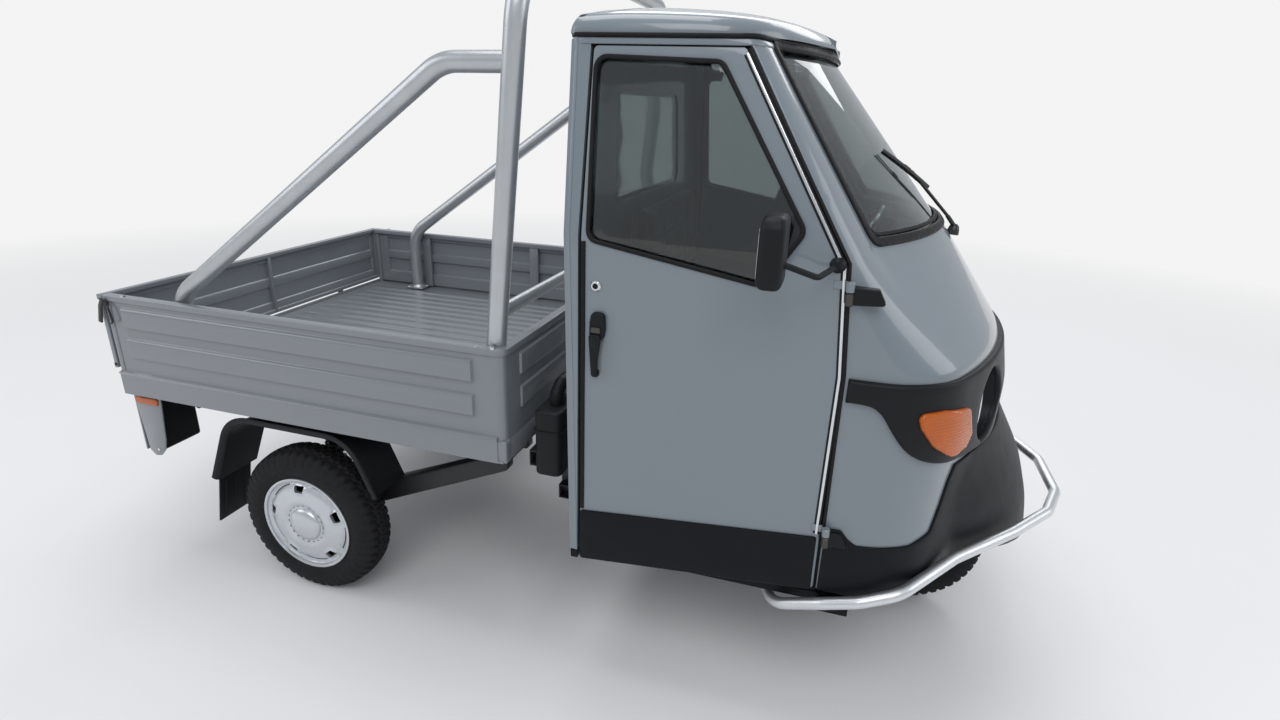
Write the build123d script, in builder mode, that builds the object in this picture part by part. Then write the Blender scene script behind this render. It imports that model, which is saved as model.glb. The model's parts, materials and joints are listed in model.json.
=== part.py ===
"""Three wheeled pickup: a two door cab over one steered front wheel and a low load bed.

Millimetres. X runs forward, Y to the left, Z up. The origin is on the ground, midway along
the overall length, so the rear axle is at x = -685 and the front axle at x = 905.
"""
import os
from math import atan2, cos, radians, sin, tan

from build123d import *

os.makedirs("parts", exist_ok=True)

# Driving dimensions
REAR_AXLE_X = -685
WHEELBASE = 1590
FRONT_AXLE_X = REAR_AXLE_X + WHEELBASE
REAR_TRACK = 1020
WHEEL_RADIUS = 217
TYRE_WIDTH = 100
RIM_RADIUS = 132
SIDES = (("right", -1), ("left", 1))
# A cut that runs past the whole vehicle in one direction
WIDE = (-2000, 2000)

# Cab shell: its plan outline at five heights, half of it, the other half mirrored.
# z, rear x, side y, bend x (where the side starts to turn in), corner x, corner y,
# bulge of the turned stretch, x of the front on the centre line
CAB_ROWS = (
    (330, 115, 590, 755, 882, 520, 13, 1044),
    (770, 106, 590, 755, 882, 520, 13, 1041),
    (880, 104, 590, 752, 874, 518, 13, 1016),
    (1091, 99, 590, 650, 690, 477, 12, 862),
    (1462, 88, 521, 430, 448, 438, 8, 552),
)
NOSE_ROWS = CAB_ROWS[:3]
CAB_WALL = 26
CAB_SPLIT_X = 300
GLASS_INSET = 9
GLASS_THICKNESS = 5
ROOF_RIM_Z = 1444
SKIRT_BEND_X = 745
SKIRT_TOP_Z = 505
NOSE_REAR_X = 674
FLOOR_Z = 330
FLOOR_TOP_Z = 350
SIDE_PLANE_Y = 590

# Doors. Outlines seen from the side, x and z of their corners, from the rear bottom forward
DOOR_OUTLINE = ((137, 333), (668, 381), (662, 870), (644, 1078), (424, 1438), (137, 1438))
WINDOW_OUTLINE = ((152, 1084), (500, 1026), (566, 1131), (384, 1413), (143, 1419))
CLADDING_OUTLINE = ((137, 333), (663, 381), (661, 514), (137, 466))
CLADDING_PROUD = 6
DOOR_GAP = 6
HINGE_LOW = Vector(678, -603, 520)
HINGE_HIGH = Vector(657, -603, 1030)
HINGE_LEAN = HINGE_HIGH - HINGE_LOW
HINGE_PIN_RADIUS = 4
HINGE_PLAY = 0.05
BARREL_RADIUS = 8
BARREL_LENGTH = 20

# Lamps in the nose
LAMP_Y = 352
LAMP_Z = 766
LAMP_HOLE_RADIUS = 84
LAMP_WINDOW_RADIUS = 80

# Load bed
BED_REAR_X = -1222
BED_FRONT_X = -55
BED_SHEET_Y = 568
BED_FLOOR_Z = 600
BED_BOTTOM_Z = 532
BED_TOP_Z = 816
BED_CORNER_RADIUS = 20
BED_CORNER_X = -90
# Heights of the pressed bands' middles, and their height and depth
BAND_HEIGHTS = (674, 759)
BAND_SIZE = 58
BAND_CORNER = 7
BAND_DEPTH = 6
BAND_TAPER = 35
# Section of the bed's walls: distance inward from the sheet's middle, z
SIDE_SECTION = ((-3, 532), (-3, 806), (-13, 806), (-13, 816), (15, 816), (15, 800), (3, 800),
                (3, 546), (11, 546), (11, 532))
FRONT_SECTION = ((-3, 584), (-3, 806), (-13, 806), (-13, 816), (15, 816), (15, 800), (3, 800), (3, 584))
GATE_HINGE_X = -1240
GATE_HINGE_Z = 594

# Roll bar
TUBE_RADIUS = 22.5
HOOP_HALF_WIDTH = 530
HOOP_FOOT_X = -112
HOOP_TOP_X = -7
HOOP_TOP_Z = 1624
HOOP_BEND = 150
STAY_Y = 525
STAY_TOP_Z = 1406
STAY_FOOT_X = -1012
STAY_RADIUS = 21.5
STAY_BEND = 110
CROSSBAR_Z = 888
CROSSBAR_RADIUS = 17

# Frame under cab and bed
RAIL_Y = 250
RAIL_WIDTH = 50
RAIL_DEPTH = 58
RAIL_TOP_Z = 528
RAIL_REAR_X = -1180
RAIL_FRONT_X = 640
RAIL_STEP_X = -40

# Steering: the column's axis passes over the front axle and leans back
COLUMN_LEAN = 12
COLUMN_TOP_Z = 950
COLUMN_BASE_Z = 462
COLUMN_RADIUS = 20
COLUMN_BORE = COLUMN_RADIUS + 0.05
AXLE_RADIUS = 12.5
HUB_BORE = AXLE_RADIUS + 0.05


def column_x(z):
    """x of the steering axis at a height."""
    return FRONT_AXLE_X - (z - WHEEL_RADIUS) * tan(radians(COLUMN_LEAN))


def hoop_x(z):
    """x of the leaning hoop at a height."""
    return HOOP_FOOT_X + (z - BED_FLOOR_Z) * (HOOP_TOP_X - HOOP_FOOT_X) / (HOOP_TOP_Z - BED_FLOOR_Z)


def gate_hinge(y):
    """A point of the tailgate's hinge line."""
    return (GATE_HINGE_X, y, GATE_HINGE_Z)


def block(x, y, z):
    """A box between two x, two y and two z."""
    with BuildPart() as body:
        with Locations(((x[0] + x[1]) / 2, (y[0] + y[1]) / 2, (z[0] + z[1]) / 2)):
            Box(x[1] - x[0], abs(y[1] - y[0]), z[1] - z[0])
    return body.part


def side_prism(points, y_low, y_high):
    """A side view outline of x, z points, as a solid between two y."""
    with BuildPart() as prism:
        with BuildSketch(Plane.XZ.offset(-y_low)):
            with BuildLine():
                Polyline(*points, close=True)
            make_face()
        extrude(amount=y_low - y_high)
    return prism.part


def rod(start, end, radius):
    """A round bar between two points."""
    start = Vector(*start)
    way = Vector(*end) - start
    with BuildPart() as bar:
        with BuildSketch(Plane(start, z_dir=way)):
            Circle(radius)
        extrude(amount=way.length)
    return bar.part


def tube(points, radius, bend):
    """A round tube along straight lengths joined by bends of one radius."""
    corners = [Vector(*point) for point in points]
    start = corners[0]
    with BuildPart() as body:
        for before, corner, after in zip(corners, corners[1:], corners[2:]):
            way_in = (corner - before).normalized()
            way_out = (after - corner).normalized()
            turn = way_in.get_angle(way_out)
            tangent = bend * tan(radians(turn / 2))
            bend_start = corner - way_in * tangent
            inward = (way_out - way_in).normalized()
            centre = corner + inward * (bend / cos(radians(turn / 2)))
            add(rod(start, bend_start, radius))
            with BuildSketch(Plane(bend_start, z_dir=way_in)):
                Circle(radius)
            revolve(axis=Axis(centre, way_in.cross(way_out)), revolution_arc=turn)
            start = corner + way_out * tangent
        add(rod(start, corners[-1], radius))
    return body.part


def tower_section(row, inset):
    """One plan outline of the cab, drawn in by the inset."""
    z, rear_x, side_y, bend_x, corner_x, corner_y, bulge, front_x = row
    turn = atan2(side_y - corner_y, corner_x - bend_x)
    side_y = side_y - inset
    rear_x = rear_x + 0.8 * inset
    front_x = front_x - inset
    corner_x = corner_x - 0.87 * inset
    corner_y = corner_y - 0.5 * inset
    middle_x = (bend_x + corner_x) / 2 + bulge * sin(turn)
    middle_y = (side_y + corner_y) / 2 + bulge * cos(turn)
    with BuildSketch(Plane.XY.offset(z)) as outline:
        with BuildLine():
            Polyline((bend_x, -side_y), (rear_x, -side_y), (rear_x, side_y), (bend_x, side_y))
            ThreePointArc((bend_x, side_y), (middle_x, middle_y), (corner_x, corner_y))
            ThreePointArc((corner_x, corner_y), (front_x, 0), (corner_x, -corner_y))
            ThreePointArc((corner_x, -corner_y), (middle_x, -middle_y), (bend_x, -side_y))
        make_face()
    return outline.sketch


def tower(rows, inset):
    """The solid between the outlines of a table of rows."""
    with BuildPart() as body:
        for low, high in zip(rows, rows[1:]):
            loft([tower_section(low, inset), tower_section(high, inset)], ruled=True)
    return body.part


def grown(points, by):
    """A side view outline grown outward by a distance."""
    with BuildSketch(Plane.XY) as outline:
        with BuildLine():
            Polyline(*points, close=True)
        make_face()
        offset(amount=by, kind=Kind.INTERSECTION)
    wire = outline.sketch.faces()[0].outer_wire()
    return [(corner.X, corner.Y) for corner in (edge.position_at(0) for edge in wire.order_edges())]


def pressed_band(face, length, depth):
    """A raised band with sloped edges and rounded ends, on a plane that looks out of the sheet."""
    with BuildPart() as band:
        with BuildSketch(face):
            RectangleRounded(length, BAND_SIZE, BAND_CORNER)
        extrude(amount=depth, taper=BAND_TAPER)
    return band.part


def finish(builder, name):
    """Label one sub-part and write it."""
    builder.part.label = name
    export_step(builder.part, f"parts/{name}.step")


# The cab's skin, and the cuts that part its panels
with BuildPart() as cab_shell:
    add(tower(CAB_ROWS, 0))
    add(tower(CAB_ROWS, CAB_WALL), mode=Mode.SUBTRACT)
with BuildPart() as glass_shell:
    add(tower(CAB_ROWS, GLASS_INSET))
    add(tower(CAB_ROWS, GLASS_INSET + GLASS_THICKNESS), mode=Mode.SUBTRACT)
door_hole = grown(DOOR_OUTLINE, DOOR_GAP)
with BuildPart() as door_openings:
    for side, sign in SIDES:
        y_low, y_high = sorted((sign * 300, sign * 700))
        add(side_prism(door_hole, y_low, y_high))

# Windscreen opening: height and half width at its foot and head
SCREEN_ROWS = ((1108, 462), (1436, 434))
with BuildPart() as screen_wedge:
    for z, half_width in SCREEN_ROWS:
        with BuildSketch(Plane.XY.offset(z)):
            with Locations((700, 0)):
                Rectangle(640, 2 * half_width)
    loft(ruled=True)

# Cab nose: the painted front with its pillars and the two lamp holes
with BuildPart() as cab_nose:
    add(cab_shell.part)
    add(block((CAB_SPLIT_X, 2000), WIDE, (FLOOR_TOP_Z, ROOF_RIM_Z)), mode=Mode.INTERSECT)
    add(block((SKIRT_BEND_X, 2000), WIDE, (0, SKIRT_TOP_Z)), mode=Mode.SUBTRACT)
    add(block((0, NOSE_REAR_X), WIDE, (0, SKIRT_TOP_Z)), mode=Mode.SUBTRACT)
    add(door_openings.part, mode=Mode.SUBTRACT)
    add(screen_wedge.part, mode=Mode.SUBTRACT)
    for side, sign in SIDES:
        hole = rod((900, sign * LAMP_Y, LAMP_Z), (1100, sign * LAMP_Y, LAMP_Z), LAMP_HOLE_RADIUS)
        add(hole, mode=Mode.SUBTRACT)
finish(cab_nose, "cab_nose")

with BuildPart() as windscreen:
    add(glass_shell.part)
    add(screen_wedge.part, mode=Mode.INTERSECT)
finish(windscreen, "windscreen")

# Cab rear wall with its two door posts, and its window
WINDOW_WIDTH = 620
WINDOW_HEIGHT = 250
WINDOW_Z = 1240
with BuildPart() as window_hole:
    with BuildSketch(Plane.YZ.offset(60)):
        with Locations((0, WINDOW_Z)):
            RectangleRounded(WINDOW_WIDTH, WINDOW_HEIGHT, 40)
    extrude(amount=100)

with BuildPart() as cab_rear_wall:
    add(cab_shell.part)
    post_front_x = DOOR_OUTLINE[0][0] - DOOR_GAP
    add(block((0, post_front_x), WIDE, (FLOOR_TOP_Z, ROOF_RIM_Z)), mode=Mode.INTERSECT)
    add(window_hole.part, mode=Mode.SUBTRACT)
finish(cab_rear_wall, "cab_rear_wall")

with BuildPart() as rear_window:
    add(glass_shell.part)
    add(window_hole.part, mode=Mode.INTERSECT)
finish(rear_window, "rear_window")

# Roof: an arched panel on a rim band. x, half width, crown z, shoulder z of each arch
ROOF_ARCHES = (
    (82, 515, 1545, 1490),
    (200, 523, 1551, 1492),
    (370, 500, 1535, 1486),
    (480, 400, 1508, 1478),
    (562, 150, 1478, 1468),
)
ROOF_BASE_Z = 1458
ROOF_SKIN = 20


def roof_dome(inset, base_z):
    """The arched roof as a solid, drawn in by the inset."""
    arches = []
    for x, half_width, crown_z, shoulder_z in ROOF_ARCHES:
        shift = inset if x < CAB_SPLIT_X else -inset
        with BuildSketch(Plane.YZ.offset(x + shift)) as arch:
            with BuildLine():
                Polyline((-half_width + inset, shoulder_z - inset), (-half_width + inset, base_z),
                         (half_width - inset, base_z), (half_width - inset, shoulder_z - inset))
                ThreePointArc((half_width - inset, shoulder_z - inset), (0, crown_z - inset),
                              (-half_width + inset, shoulder_z - inset))
            make_face()
        arches.append(arch.sketch)
    with BuildPart() as dome:
        loft(arches)
    return dome.part


with BuildPart() as cab_roof:
    add(cab_shell.part)
    add(block(WIDE, WIDE, (ROOF_RIM_Z, 1600)), mode=Mode.INTERSECT)
    add(screen_wedge.part, mode=Mode.SUBTRACT)
    add(roof_dome(0, ROOF_BASE_Z))
    add(roof_dome(ROOF_SKIN, ROOF_BASE_Z - 40), mode=Mode.SUBTRACT)
finish(cab_roof, "cab_roof")

# Cab floor with the front wheel's housing, the toe boards, the steering head and the seat box
HOUSING_REAR_X = 650
HOUSING_FRONT_X = 985
HOUSING_HALF = 200
HOUSING_TOP_Z = 510
HOUSING_SKIN = 12
HEAD_RADIUS = 32
HEAD_TOP_Z = 660
SEAT_REAR_X = 150
SEAT_FRONT_X = 500
SEAT_HALF = 260
SEAT_TOP_Z = 600
SILL_Y = 557
TOE_OUTLINE = ((735, 338), (747, 338), (900, 548), (888, 552), (735, 350))
COLUMN_TOP = Vector(column_x(COLUMN_TOP_Z), 0, COLUMN_TOP_Z)
COLUMN_AXIS = (COLUMN_TOP - Vector(FRONT_AXLE_X, 0, WHEEL_RADIUS)).normalized()
with BuildPart() as cab_floor:
    add(tower(NOSE_ROWS, 0))
    add(block((0, SKIRT_BEND_X), WIDE, (FLOOR_Z, FLOOR_TOP_Z)), mode=Mode.INTERSECT)
    # The sills step in below the doors
    for side, sign in SIDES:
        sill = sorted((sign * SILL_Y, sign * 700))
        add(block((131, 680), sill, (0, FLOOR_TOP_Z)), mode=Mode.SUBTRACT)
    with BuildPart(mode=Mode.PRIVATE) as toe_boards:
        add(side_prism(TOE_OUTLINE, -SIDE_PLANE_Y, SIDE_PLANE_Y))
        add(tower(NOSE_ROWS, CAB_WALL), mode=Mode.INTERSECT)
    add(toe_boards.part)
    add(block((HOUSING_REAR_X, HOUSING_FRONT_X), (-HOUSING_HALF, HOUSING_HALF),
              (FLOOR_Z, HOUSING_TOP_Z)))
    inner_y = HOUSING_HALF - HOUSING_SKIN
    add(block((HOUSING_REAR_X + HOUSING_SKIN, HOUSING_FRONT_X + HOUSING_SKIN), (-inner_y, inner_y),
              (FLOOR_Z, HOUSING_TOP_Z - HOUSING_SKIN)), mode=Mode.SUBTRACT)
    head_foot_z = HOUSING_TOP_Z - 8
    add(rod((column_x(head_foot_z), 0, head_foot_z), (column_x(HEAD_TOP_Z), 0, HEAD_TOP_Z),
            HEAD_RADIUS))
    bore_foot_z = HOUSING_TOP_Z - 60
    add(rod((column_x(bore_foot_z), 0, bore_foot_z), COLUMN_TOP, COLUMN_BORE), mode=Mode.SUBTRACT)
    add(block((SEAT_REAR_X, SEAT_FRONT_X), (-SEAT_HALF, SEAT_HALF), (FLOOR_TOP_Z, SEAT_TOP_Z)))
finish(cab_floor, "cab_floor")

# Seat and backrest cushions
SEAT_CUSHION = ((160, 505), (-270, 270), (SEAT_TOP_Z, 690))
BACK_OUTLINE = ((134, 780), (196, 780), (180, 1110), (134, 1110))
with BuildPart() as seat_cushions:
    add(block(*SEAT_CUSHION))
    fillet(seat_cushions.edges().filter_by(Axis.Z), 40)
    fillet(seat_cushions.faces().sort_by(Axis.Z)[-1].edges(), 24)
    with BuildPart(mode=Mode.PRIVATE) as backrest:
        add(side_prism(BACK_OUTLINE, -270, 270))
        fillet(backrest.edges().filter_by(Axis.Y).sort_by(Axis.X)[-2:], 18)
    add(backrest.part)
finish(seat_cushions, "seat_cushions")

# Dashboard shelf under the windscreen, with the instrument housing
DASH_REAR_X = 690
with BuildPart() as dashboard:
    add(tower(CAB_ROWS, CAB_WALL + 2))
    add(block((DASH_REAR_X, 2000), WIDE, (1040, 1062)), mode=Mode.INTERSECT)
    add(side_prism(((DASH_REAR_X, 1000), (DASH_REAR_X + 60, 1000), (DASH_REAR_X + 60, 1110),
                    (DASH_REAR_X + 28, 1110), (DASH_REAR_X, 1050)), -130, 130))
finish(dashboard, "dashboard")

# Front mask: the black band round the nose, its lobes round the lamps
MASK_PROUD = 12
MASK_OUTLINE = ((684, 869), (1100, 869), (1100, 650), (1040, 654), (990, 668), (940, 684), (909, 690),
                (870, 697), (830, 710), (797, 733), (769, 769), (752, 795), (738, 810), (719, 819),
                (684, 821))
with BuildPart() as front_mask:
    add(tower(NOSE_ROWS, -MASK_PROUD))
    add(tower(NOSE_ROWS, 0), mode=Mode.SUBTRACT)
    add(side_prism(MASK_OUTLINE, -800, 800), mode=Mode.INTERSECT)
    for side, sign in SIDES:
        window = rod((900, sign * LAMP_Y, LAMP_Z), (1100, sign * LAMP_Y, LAMP_Z), LAMP_WINDOW_RADIUS)
        add(window, mode=Mode.SUBTRACT)
finish(front_mask, "front_mask")

# Headlamps: a bowl at the back of a round well in the nose, a bezel and a domed lens.
# x, radius of the half section
LAMP_SECTION = ((892, 0), (892, 40), (915, LAMP_HOLE_RADIUS), (932, LAMP_HOLE_RADIUS), (932, 76),
                (946, 76), (946, 70))
LAMP_DOME = ((946, 70), (956.4, 37), (960, 6))
WELL_RADIUS = 81
with BuildPart() as headlamps:
    for side, sign in SIDES:
        with BuildPart(mode=Mode.PRIVATE) as lamp:
            with BuildSketch(Plane((0, sign * LAMP_Y, LAMP_Z), x_dir=(1, 0, 0), z_dir=(0, -1, 0))):
                with BuildLine():
                    Polyline(*LAMP_SECTION)
                    ThreePointArc(*LAMP_DOME)
                    Polyline(LAMP_DOME[-1], (LAMP_DOME[-1][0], 0), LAMP_SECTION[0])
                make_face()
            revolve(axis=Axis((0, sign * LAMP_Y, LAMP_Z), (1, 0, 0)))
            with BuildPart(mode=Mode.PRIVATE) as well:
                well_rear, well_front = (925, sign * LAMP_Y, LAMP_Z), (1100, sign * LAMP_Y, LAMP_Z)
                add(rod(well_rear, well_front, LAMP_HOLE_RADIUS))
                add(rod(well_rear, well_front, WELL_RADIUS), mode=Mode.SUBTRACT)
                add(tower(NOSE_ROWS, 0), mode=Mode.INTERSECT)
            add(well.part)
        add(lamp.part)
finish(headlamps, "headlamps")

# Indicators: shield shaped lenses on the mask's corners
INDICATOR_PROUD = 8
INDICATOR_OUTLINE = ((811, 825), (910, 818), (926, 754), (919, 727), (888, 721), (847, 755), (822, 794))
with BuildPart() as front_indicators:
    add(tower(NOSE_ROWS, -MASK_PROUD - INDICATOR_PROUD))
    add(tower(NOSE_ROWS, -MASK_PROUD), mode=Mode.SUBTRACT)
    add(side_prism(INDICATOR_OUTLINE, -700, 700), mode=Mode.INTERSECT)
finish(front_indicators, "front_indicators")

# Front apron: the black lower fairing that bulges over the front wheel, with the side skirts
APRON_ROWS = (
    (300, 600, 585, 735, 905, 420, 26, 1198),
    (430, 600, 596, 752, 920, 430, 26, 1176),
    (540, 600, 596, 756, 912, 466, 22, 1138),
    (668, 600, 596, 760, 900, 486, 18, 1064),
)
SKIRT_OUTLINE = ((684, 383), (684, 533), (728, 533), (738, 506), (862, 506), (890, 530), (905, 572),
                 (905, 408), (820, 383))
APRON_OUTLINE = ((905, 408), (905, 572), (908, 668), (1250, 668), (1250, 302), (1150, 330), (1040, 400),
                 (960, 410))
APRON_SKIN = 6
with BuildPart() as apron_shell:
    add(tower(APRON_ROWS, 0))
    add(tower(APRON_ROWS, APRON_SKIN), mode=Mode.SUBTRACT)
    for neighbour in (cab_nose, front_mask, cab_floor, headlamps):
        add(neighbour.part, mode=Mode.SUBTRACT)
with BuildPart() as front_apron:
    add(apron_shell.part)
    add(side_prism(APRON_OUTLINE, -800, 800), mode=Mode.INTERSECT)
finish(front_apron, "front_apron")
with BuildPart() as front_skirts:
    add(apron_shell.part)
    add(side_prism(SKIRT_OUTLINE, -800, 800), mode=Mode.INTERSECT)
finish(front_skirts, "front_skirts")

# Doors: one panel a side, with its pane, lower cladding, handle and mirror
MIRROR_PLACE = (523, 704, 1115)
MIRROR_DEPTH = 46
MIRROR_ARM = ((541, 704, 1095), (600, 660, 1068), (628, 592, 1078))
HANDLE_X = 177
for side, sign in SIDES:
    y_low, y_high = sorted((sign * 300, sign * 700))
    outside = (0, sign, 0)
    with BuildPart() as door:
        add(cab_shell.part)
        add(side_prism(DOOR_OUTLINE, y_low, y_high), mode=Mode.INTERSECT)
        add(side_prism(WINDOW_OUTLINE, y_low, y_high), mode=Mode.SUBTRACT)
        for hinge in (HINGE_LOW, HINGE_HIGH):
            x, z = hinge.X, hinge.Z
            # Strap on the door's skin, then the lug that carries the upper barrel
            add(block((x - 67, x - 5), (sign * 590, sign * 596), (z + 4, z + 24)))
            add(block((x - 13, x - 3), (sign * 591, sign * 605), (z + 4, z + 24)))
            pin = Plane((x, -sign * hinge.Y, z), z_dir=HINGE_LEAN)
            with BuildSketch(pin.offset(4)):
                Circle(BARREL_RADIUS)
            extrude(amount=BARREL_LENGTH)
            with BuildSketch(pin):
                Circle(HINGE_PIN_RADIUS + HINGE_PLAY)
            extrude(amount=30, mode=Mode.SUBTRACT)
    finish(door, f"door_{side}")

    with BuildPart() as pane:
        add(glass_shell.part)
        add(side_prism(WINDOW_OUTLINE, y_low, y_high), mode=Mode.INTERSECT)
    finish(pane, f"door_glass_{side}")

    y_low, y_high = sorted((sign * SIDE_PLANE_Y, sign * (SIDE_PLANE_Y + CLADDING_PROUD)))
    with BuildPart() as cladding:
        add(side_prism(CLADDING_OUTLINE, y_low, y_high))
    finish(cladding, f"door_cladding_{side}")

    # Handle: a plate with the pull lever on it
    with BuildPart() as handle:
        with BuildSketch(Plane((HANDLE_X, sign * SIDE_PLANE_Y, 868), x_dir=(1, 0, 0), z_dir=outside)):
            RectangleRounded(34, 142, 14)
        extrude(amount=8)
        with BuildSketch(Plane((HANDLE_X, sign * (SIDE_PLANE_Y + 8), 856), x_dir=(1, 0, 0), z_dir=outside)):
            RectangleRounded(20, 104, 9)
        extrude(amount=10, taper=12)
    finish(handle, f"door_handle_{side}")

    mirror_x, mirror_y, mirror_z = MIRROR_PLACE
    with BuildPart() as mirror:
        with BuildSketch(Plane.YZ.offset(mirror_x - MIRROR_DEPTH / 2)):
            with Locations((sign * mirror_y, mirror_z)):
                RectangleRounded(96, 126, 24)
        extrude(amount=MIRROR_DEPTH)
        fillet(mirror.faces().sort_by(Axis.X)[-1].edges(), 14)
        add(tube([(x, sign * y, z) for x, y, z in MIRROR_ARM], 6, 20))
        add(door.part, mode=Mode.SUBTRACT)
    finish(mirror, f"mirror_{side}")

# Hinge barrels and pins on the cab, under their wedge covers. The low ones sit on the skirts
HINGE_SEATS = ((HINGE_LOW, 596, 45), (HINGE_HIGH, 590, 66))
with BuildPart() as door_hinges:
    for side, sign in SIDES:
        for hinge, seat_y, reach in HINGE_SEATS:
            x, z = hinge.X, hinge.Z
            pin = Plane((x, -sign * hinge.Y, z), z_dir=HINGE_LEAN)
            with BuildSketch(pin.offset(-BARREL_LENGTH)):
                Circle(BARREL_RADIUS)
            extrude(amount=BARREL_LENGTH + 2)
            with BuildSketch(pin):
                Circle(HINGE_PIN_RADIUS)
            extrude(amount=24)
            y_low, y_high = sorted((sign * seat_y, sign * 606))
            add(side_prism(((x + 5, z - 19), (x + reach, z - 15), (x + reach - 6, z - 1), (x + 5, z + 1)),
                           y_low, y_high))
finish(door_hinges, "door_hinges")

# Load bed floor with its lengthwise ribs
BED_LENGTH = BED_FRONT_X - BED_REAR_X
BED_MID_X = (BED_FRONT_X + BED_REAR_X) / 2
FLOOR_SHEET = 12
RIB_HEIGHT = 4
RIB_WIDTH = 28
RIB_PITCH = 52
RIB_COUNT = 19
floor_base_z = BED_FLOOR_Z - RIB_HEIGHT - FLOOR_SHEET
inner_y = BED_SHEET_Y - 3
inner_front_x = BED_FRONT_X - 6
with BuildPart() as bed_floor:
    add(block((BED_REAR_X, inner_front_x), (-inner_y, inner_y), (floor_base_z, floor_base_z + FLOOR_SHEET)))
    fillet(bed_floor.edges().filter_by(Axis.Z).sort_by(Axis.X)[-2:], BED_CORNER_RADIUS)
    with BuildSketch(Plane.XY.offset(BED_FLOOR_Z - RIB_HEIGHT)):
        with Locations((BED_MID_X, 0)):
            with GridLocations(0, RIB_PITCH, 1, RIB_COUNT):
                RectangleRounded(BED_LENGTH - 100, RIB_WIDTH, 8)
    extrude(amount=RIB_HEIGHT, taper=45)
finish(bed_floor, "bed_floor")

# Bearers under the bed floor, the rear one with the tailgate's hinge pins
BEARER_XS = (-1192, -900, -600, -300, -95)
BEARER_WIDTH = 40
BEARER_HALF = 550
KNUCKLE_RADIUS = 5
GATE_PIN_RADIUS = 2.5
with BuildPart() as bed_bearers:
    for x in BEARER_XS:
        half = BEARER_WIDTH / 2
        add(block((x - half, x + half), (-BEARER_HALF, BEARER_HALF), (RAIL_TOP_Z, floor_base_z)))
    for side, sign in SIDES:
        knuckle = sorted((sign * 290, sign * 320))
        foot_z = GATE_HINGE_Z - 15
        add(block((GATE_HINGE_X, BEARER_XS[0]), knuckle, (foot_z, foot_z + 5)))
        add(block((GATE_HINGE_X - 3, GATE_HINGE_X + 5), knuckle, (foot_z, GATE_HINGE_Z)))
        add(rod(gate_hinge(sign * 290), gate_hinge(sign * 320), KNUCKLE_RADIUS))
        add(rod(gate_hinge(sign * 320), gate_hinge(sign * 351), GATE_PIN_RADIUS))
finish(bed_bearers, "bed_bearers")

# Bed sides: pressed sheets with two raised bands, a crease, a box flange and two inner posts
BAND_LENGTH = 1040
BAND_MID_X = -650
CREASE = ((BED_REAR_X, BED_CORNER_X), (592, 602))
POST_XS = (-980, -505)
with BuildPart() as bed_sides:
    for side, sign in SIDES:
        outside = (0, sign, 0)
        with BuildSketch(Plane.YZ.offset(BED_REAR_X)):
            with BuildLine():
                Polyline(*[(sign * (BED_SHEET_Y - inward), z) for inward, z in SIDE_SECTION], close=True)
            make_face()
        extrude(amount=BED_CORNER_X - BED_REAR_X)
        add(block(CREASE[0], sorted((sign * (BED_SHEET_Y + 3), sign * (BED_SHEET_Y + 6))), CREASE[1]))
        for x in POST_XS:
            post = sorted((sign * (BED_SHEET_Y - 15), sign * (BED_SHEET_Y - 3)))
            add(block((x - 18, x + 18), post, (BED_FLOOR_Z, 800)))
        for z in BAND_HEIGHTS:
            face = Plane((BAND_MID_X, sign * (BED_SHEET_Y + 3), z), x_dir=(1, 0, 0), z_dir=outside)
            add(pressed_band(face, BAND_LENGTH, BAND_DEPTH))
            face = Plane((BAND_MID_X, sign * (BED_SHEET_Y - 3), z), x_dir=(1, 0, 0), z_dir=outside)
            add(pressed_band(face, BAND_LENGTH, BAND_DEPTH), mode=Mode.SUBTRACT)
finish(bed_sides, "bed_sides")

# Roll bar: a leaning hoop over the bed's front, two stays down to its floor and a crossbar
STAY_ROUTE = ((hoop_x(STAY_TOP_Z), STAY_TOP_Z), (-190, 1404), (STAY_FOOT_X, 822),
              (STAY_FOOT_X, BED_FLOOR_Z))
FOOT_PLATE = 6
with BuildPart() as roll_bar:
    add(tube([(HOOP_FOOT_X, -HOOP_HALF_WIDTH, BED_FLOOR_Z), (HOOP_TOP_X, -HOOP_HALF_WIDTH, HOOP_TOP_Z),
              (HOOP_TOP_X, HOOP_HALF_WIDTH, HOOP_TOP_Z), (HOOP_FOOT_X, HOOP_HALF_WIDTH, BED_FLOOR_Z)],
             TUBE_RADIUS, HOOP_BEND))
    for side, sign in SIDES:
        add(tube([(x, sign * STAY_Y, z) for x, z in STAY_ROUTE], STAY_RADIUS, STAY_BEND))
        for x in (STAY_FOOT_X, HOOP_FOOT_X):
            add(block((x - 38, x + 38), sorted((sign * 493, sign * 553)),
                      (BED_FLOOR_Z, BED_FLOOR_Z + FOOT_PLATE)))
    crossbar_x = hoop_x(CROSSBAR_Z)
    add(rod((crossbar_x, -HOOP_HALF_WIDTH, CROSSBAR_Z), (crossbar_x, HOOP_HALF_WIDTH, CROSSBAR_Z),
            CROSSBAR_RADIUS))
    # The hoop's feet stand flat on the floor
    add(block(WIDE, WIDE, (0, BED_FLOOR_Z)), mode=Mode.SUBTRACT)
finish(roll_bar, "roll_bar")

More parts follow.
